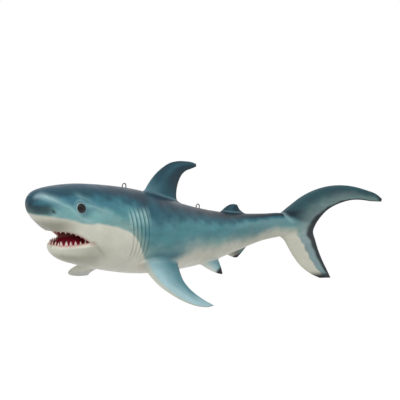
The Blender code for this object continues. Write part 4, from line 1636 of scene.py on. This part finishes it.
@dataclass
class Eye:
    """Set-in glass ball with a painted iris and a raised lid ring on the skin."""

    side: Side
    place: tuple[float, float] = EYE_PLACE
    radius: float = 0.0095
    set_in: float = 0.0065
    lid_radius: float = 0.0080
    lid_thick: float = 0.0013
    lid_flatness: float = 0.8
    look: tuple[float, float] = (-0.18, 0.10)
    rings: int = 24
    around: int = 40
    tube_points: int = 12

    def frame(self) -> tuple[Array, Array, Array, Array]:
        """Skin point, outward direction and the two directions along the skin.

        Returns:
            Skin point, outward direction, and the directions up and along the skin.
        """
        half = float(TRUNK.side(np.array(self.place[0]), np.array(self.place[1])))
        skin = np.array((self.place[0], self.side.value * half, self.place[1]))
        out = np.array((self.look[0], self.side.value, self.look[1]))
        out /= np.linalg.norm(out)
        up = np.array((0.0, 0.0, 1.0)) - out * out[2]
        up /= np.linalg.norm(up)
        return skin, out, up, np.cross(up, out)

    def ball(self) -> Patch:
        """Ball whose pole looks outward; the iris is a ring of brown round the black middle, shown on the
        lower side only as a painted glint of light through the glass.

        Returns:
            Patch of the ball.
        """
        skin, out, up, across = self.frame()
        centre = skin - self.set_in * out
        polar = np.linspace(0.0, math.pi, self.rings)[:, None]
        turn = circle_angles(self.around)[None, :]
        direction = (np.cos(polar)[..., None] * out + (np.sin(polar) * np.cos(turn))[..., None] * up
                     + (np.sin(polar) * np.sin(turn))[..., None] * across)
        points = centre + self.radius * direction
        # brown iris ring kept to the lower side: iris paint and a painted glint of light through the glass
        iris_and_glint = ramp(0.25, 0.45, polar) * (1.0 - ramp(0.62, 0.85, polar)) * ramp(0.5, -0.8, np.cos(turn))
        count = points.shape[0] * points.shape[1]
        black = np.broadcast_to(linear(PALETTE.pupil), (count, 3))
        brown = np.broadcast_to(linear(PALETTE.iris_and_glint), (count, 3))
        return Patch(points.reshape(-1, 3), grid_quads(self.rings, self.around, 0, True), brown, black,
                     iris_and_glint.ravel())

    def lid(self) -> Patch:
        """Ring round the ball, its tube following the skin, pale on its outer half and painted dark on its
        inner half as shade between ring and ball.

        Returns:
            Patch of the ring.
        """
        skin, out, up, across = self.frame()
        turn = circle_angles(self.around)[:, None]
        tube = circle_angles(self.tube_points)[None, :]
        spoke = np.cos(turn)[..., None] * up + np.sin(turn)[..., None] * across
        circle = skin + self.lid_radius * spoke
        half = TRUNK.side(circle[..., 0], circle[..., 2])
        circle[..., 1] = self.side.value * half
        points = circle + self.lid_thick * (np.cos(tube)[..., None] * spoke
                                            + self.lid_flatness * np.sin(tube)[..., None] * out)
        count = points.shape[0] * points.shape[1]
        # painted shade: the inner half of the tube dark, the outer half pale
        outward = np.broadcast_to(ramp(-0.2, 0.7, np.cos(tube)), points.shape[:2])
        pale = mixed(linear(PALETTE.patch), linear(PALETTE.pale_line_and_highlight), outward).reshape(-1, 3)
        quads = grid_quads(self.around + 1, self.tube_points, 0, True) % count
        return Patch(points.reshape(-1, 3), quads, pale, pale, np.zeros(count))

    def build(self, glass: bpy.types.Material, paint: bpy.types.Material) -> None:
        """Make the ball and the lid ring.

        Args:
            glass: material of the ball.
            paint: material of the lid.
        """
        name = self.side.name.lower()
        make_piece(f"{name}_eye_ball", self.ball(), glass, f"{name}_eye")
        make_piece(f"{name}_eye_lid", self.lid(), paint, "body")


@dataclass
class WireLoop:
    """Bent wire loop: two legs into the casting and a round arch."""

    name: str
    centre: Array
    bends: int = 33
    around: int = 12
    leg_points: int = 5

    def build(self, finish: bpy.types.Material) -> None:
        """Tube along the legs and the arch; the end rings are drawn to a point.

        Formula: the path is a half circle with a straight leg at each end, and every ring is a
        circle across the path.

        Args:
            finish: material of the piece.
        """
        turn = np.linspace(0.0, math.pi, self.bends)
        arch = np.stack((self.centre[0] + LOOPS.radius * np.cos(turn), np.zeros(self.bends),
                         self.centre[2] + LOOPS.radius * np.sin(turn)), axis=-1)
        foot = self.centre[2] - LOOPS.rise - LOOPS.leg
        legs = np.linspace(foot, self.centre[2], self.leg_points + 1)[:-1]
        first = np.stack((np.full_like(legs, arch[0, 0]), np.zeros_like(legs), legs), axis=-1)
        last = np.stack((np.full_like(legs, arch[-1, 0]), np.zeros_like(legs), legs[::-1]), axis=-1)
        path = np.vstack((first[:1], first, arch, last, last[-1:]))
        heading = np.gradient(path, axis=0)
        heading /= np.maximum(np.linalg.norm(heading, axis=1, keepdims=True), 1e-9)
        across = np.array((0.0, 1.0, 0.0))
        spoke = np.cross(heading, across)
        angle = circle_angles(self.around)
        girth = np.full(len(path), LOOPS.wire)
        girth[0] = girth[-1] = 0.0
        points = (path[:, None] + girth[:, None, None] * (np.cos(angle)[None, :, None] * across
                                                          + np.sin(angle)[None, :, None] * spoke[:, None]))
        count = points.shape[0] * points.shape[1]
        light = np.broadcast_to(linear(PALETTE.wire), (count, 3))
        dull = np.broadcast_to(linear(PALETTE.tarnish), (count, 3))
        patch = Patch(points.reshape(-1, 3), grid_quads(len(path), self.around, 0, True), light, dull,
                      np.zeros(count))
        make_piece(f"{self.name}_wire", patch, finish, self.name)


FINS = (
    Fin("back_fin",
        ((0.236, 0.0600), (0.250, 0.0800), (0.269, 0.0981), (0.286, 0.1084), (0.306, 0.1160), (0.326, 0.1176),
         (0.346, 0.1157), (0.362, 0.1127), (0.373, 0.1085)),
        ((0.330, 0.0300), (0.321, 0.0517), (0.322, 0.0660), (0.327, 0.0805), (0.336, 0.0927), (0.346, 0.0983),
         (0.357, 0.1005), (0.373, 0.1040)), 0.0150, 0.0030, 0.006),
    Fin("rear_back_fin",
        ((0.430, 0.0060), (0.445, 0.0185), (0.460, 0.0244), (0.470, 0.0247)),
        ((0.500, -0.0040), (0.489, 0.0075), (0.483, 0.0128), (0.477, 0.0227)), 0.0080, 0.0022, 0.005),
    PaleFin("under_fin",
            ((0.436, -0.0600), (0.455, -0.0740), (0.472, -0.0812)),
            ((0.508, -0.0500), (0.494, -0.0670), (0.486, -0.0745), (0.478, -0.0812)), 0.0080, 0.0022, 0.004,
            colour=PALETTE.fin_stone),
)

BREAST_EDGES = (
    ((0.208, 0.0300), (0.196, 0.0480), (0.184, 0.0700), (0.178, 0.0900), (0.175, 0.1150), (0.179, 0.1360),
     (0.189, 0.1550), (0.206, 0.1680), (0.231, 0.1725)),
    ((0.284, 0.0300), (0.273, 0.0540), (0.257, 0.0770), (0.243, 0.1000), (0.236, 0.1230), (0.236, 0.1390),
     (0.241, 0.1560), (0.248, 0.1690)))
BELLY_EDGES = (
    ((0.336, 0.0120), (0.350, 0.0228), (0.361, 0.0328), (0.374, 0.0414), (0.391, 0.0475)),
    ((0.414, 0.0120), (0.408, 0.0220), (0.402, 0.0357), (0.395, 0.0471)))


@dataclass
class Fins:
    """All fins but the tail."""

    breast_base: tuple[float, float] = (0.0500, -0.0460)
    breast_droop: float = 0.45
    breast_pitch: tuple[float, float] = (0.16, 0.1900)
    belly_base: tuple[float, float] = (0.0200, -0.0660)
    belly_droop: float = 1.00
    belly_pitch: tuple[float, float] = (0.06, 0.3600)

    def build(self, skin: Skin, finish: bpy.types.Material) -> None:
        """Make the middle fins and both pairs."""
        for fin in FINS:
            fin.build(skin, finish)
        for side in Side:
            name = side.name.lower()
            BreastFin(f"{name}_breast_fin", *BREAST_EDGES, 0.0200, 0.0034, 0.011, self.breast_base,
                      self.breast_droop, self.breast_pitch, side, fade=0.007).build(skin, finish)
            PaleFin(f"{name}_belly_fin", *BELLY_EDGES, 0.0100, 0.0024, 0.005, self.belly_base,
                    self.belly_droop, self.belly_pitch, side).build(skin, finish)


@dataclass(frozen=True)
class Lamp:
    """Square soft light: direction from the fish in degrees, distance and side in metres, watts."""

    name: str
    azimuth: float
    elevation: float
    distance: float
    size: float
    power: float


@dataclass(frozen=True)
class Studio:
    """Floor, soft lights, white surroundings and the camera of the photograph."""

    target: tuple[float, float, float] = (0.0960, 0.0, -0.0163)
    azimuth: float = -45.0
    elevation: float = 8.0
    distance: float = 1.870
    lens: float = 90.0
    sensor: float = 36.0
    sky_light: float = 0.55
    sky_seen: float = 1.0
    floor_height: float = -0.560
    floor_reach: float = 30.0
    floor_tone: float = 0.60
    floor_glow: float = 1.06
    glow_share: float = 0.92
    lamps: tuple[Lamp, ...] = (
        Lamp("top_light", -60.0, 62.0, 1.7, 1.5, 17.0),
        Lamp("front_light", -95.0, 25.0, 2.2, 1.4, 8.0),
        Lamp("side_light", 10.0, 20.0, 2.6, 1.6, 7.0))

    def aim(self, holder: bpy.types.Object, azimuth: float, elevation: float, distance: float) -> None:
        """Place an object round the middle of the fish and turn it to face that point.

        Args:
            holder: camera or lamp.
            azimuth: direction round the fish in degrees.
            elevation: direction above the horizontal in degrees.
            distance: metres from the fish.
        """
        a, e = math.radians(azimuth), math.radians(elevation)
        back = Vector((math.sin(a) * math.cos(e), -math.cos(a) * math.cos(e), math.sin(e)))
        holder.location = Vector(self.target) + back * distance
        holder.rotation_euler = (-back).to_track_quat("-Z", "Y").to_euler()
        bpy.context.scene.collection.objects.link(holder)

    def camera(self) -> None:
        """Camera at the photograph's viewing angle, looking at the middle of the fish."""
        made = bpy.data.cameras.new("camera")
        made.lens = self.lens
        made.sensor_width = self.sensor
        made.clip_end = 60.0
        holder = bpy.data.objects.new("camera", made)
        self.aim(holder, self.azimuth, self.elevation, self.distance)
        bpy.context.scene.camera = holder

    def light(self, lamp: Lamp) -> None:
        """Add one lamp.

        Args:
            lamp: place, size and power of the lamp.
        """
        made = bpy.data.lights.new(lamp.name, "AREA")
        made.shape = "SQUARE"
        made.size = lamp.size
        made.energy = lamp.power
        self.aim(bpy.data.objects.new(lamp.name, made), lamp.azimuth, lamp.elevation, lamp.distance)

    def seen(self, tree: bpy.types.NodeTree) -> bpy.types.NodeSocket:
        """1 for rays from the camera, in mirrors and through glass, 0 for others.

        Args:
            tree: node tree that gets the nodes.

        Returns:
            Output socket.
        """
        path = tree.nodes.new("ShaderNodeLightPath")
        first = tree.nodes.new("ShaderNodeMath")
        first.operation = "MAXIMUM"
        tree.links.new(path.outputs["Is Camera Ray"], first.inputs[0])
        tree.links.new(path.outputs["Is Glossy Ray"], first.inputs[1])
        second = tree.nodes.new("ShaderNodeMath")
        second.operation = "MAXIMUM"
        tree.links.new(first.outputs[0], second.inputs[0])
        tree.links.new(path.outputs["Is Transmission Ray"], second.inputs[1])
        return second.outputs[0]

    def world(self) -> None:
        """White surroundings for what sees them, a plain level of grey for the light they give."""
        world = bpy.data.worlds.new("studio")
        world.use_nodes = True
        bpy.context.scene.world = world
        tree = world.node_tree
        sky = tree.nodes["Background"]
        level = tree.nodes.new("ShaderNodeMapRange")
        level.inputs["To Min"].default_value = self.sky_light
        level.inputs["To Max"].default_value = self.sky_seen
        tree.links.new(self.seen(tree), level.inputs["Value"])
        sky.inputs["Color"].default_value = (1.0, 1.0, 1.0, 1.0)
        tree.links.new(level.outputs["Result"], sky.inputs["Strength"])

    def floor(self) -> None:
        """Pale floor that keeps a soft shadow."""
        made = bpy.data.materials.new("pale_floor")
        made.use_nodes = True
        tree = made.node_tree
        matt = tree.nodes["Principled BSDF"]
        matt.inputs["Base Color"].default_value = (self.floor_tone, self.floor_tone, self.floor_tone, 1.0)
        matt.inputs["Roughness"].default_value = 0.9
        glow = tree.nodes.new("ShaderNodeEmission")
        glow.inputs["Strength"].default_value = self.floor_glow
        mix = tree.nodes.new("ShaderNodeMixShader")
        level = tree.nodes.new("ShaderNodeMath")
        level.operation = "MULTIPLY"
        level.inputs[1].default_value = self.glow_share
        tree.links.new(self.seen(tree), level.inputs[0])
        tree.links.new(level.outputs[0], mix.inputs["Fac"])
        tree.links.new(matt.outputs[0], mix.inputs[1])
        tree.links.new(glow.outputs[0], mix.inputs[2])
        tree.links.new(mix.outputs[0], tree.nodes["Material Output"].inputs["Surface"])
        mesh = bpy.data.meshes.new("floor")
        reach = self.floor_reach
        corners = [(-reach, -reach), (reach, -reach), (reach, reach), (-reach, reach)]
        mesh.from_pydata([(x, y, self.floor_height) for x, y in corners], [], [(0, 1, 2, 3)])
        mesh.materials.append(made)
        floor = bpy.data.objects.new("floor", mesh)
        bpy.context.scene.collection.objects.link(floor)

    def build(self) -> None:
        """Set up everything round the fish."""
        self.camera()
        self.world()
        self.floor()
        for lamp in self.lamps:
            self.light(lamp)
        bpy.context.scene.view_settings.view_transform = "Standard"


def main() -> None:
    """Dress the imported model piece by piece."""
    logging.basicConfig(level=logging.INFO, format="%(name)s %(message)s")
    Studio().build()
    paint = PaintFinish().build()
    glass = GlassFinish().build()
    skin = Skin()
    skin.build(paint)
    Tail().build(skin, paint)
    Fins().build(skin, paint)
    Teeth().build(skin, ToothFinish().build())
    for side in Side:
        Eye(side).build(glass, paint)
    wire = WireFinish().build()
    for name, centre in zip(("front_hanging_loop", "rear_hanging_loop"), LOOPS.centres()):
        WireLoop(name, centre).build(wire)


if __name__ == "__main__":
    main()
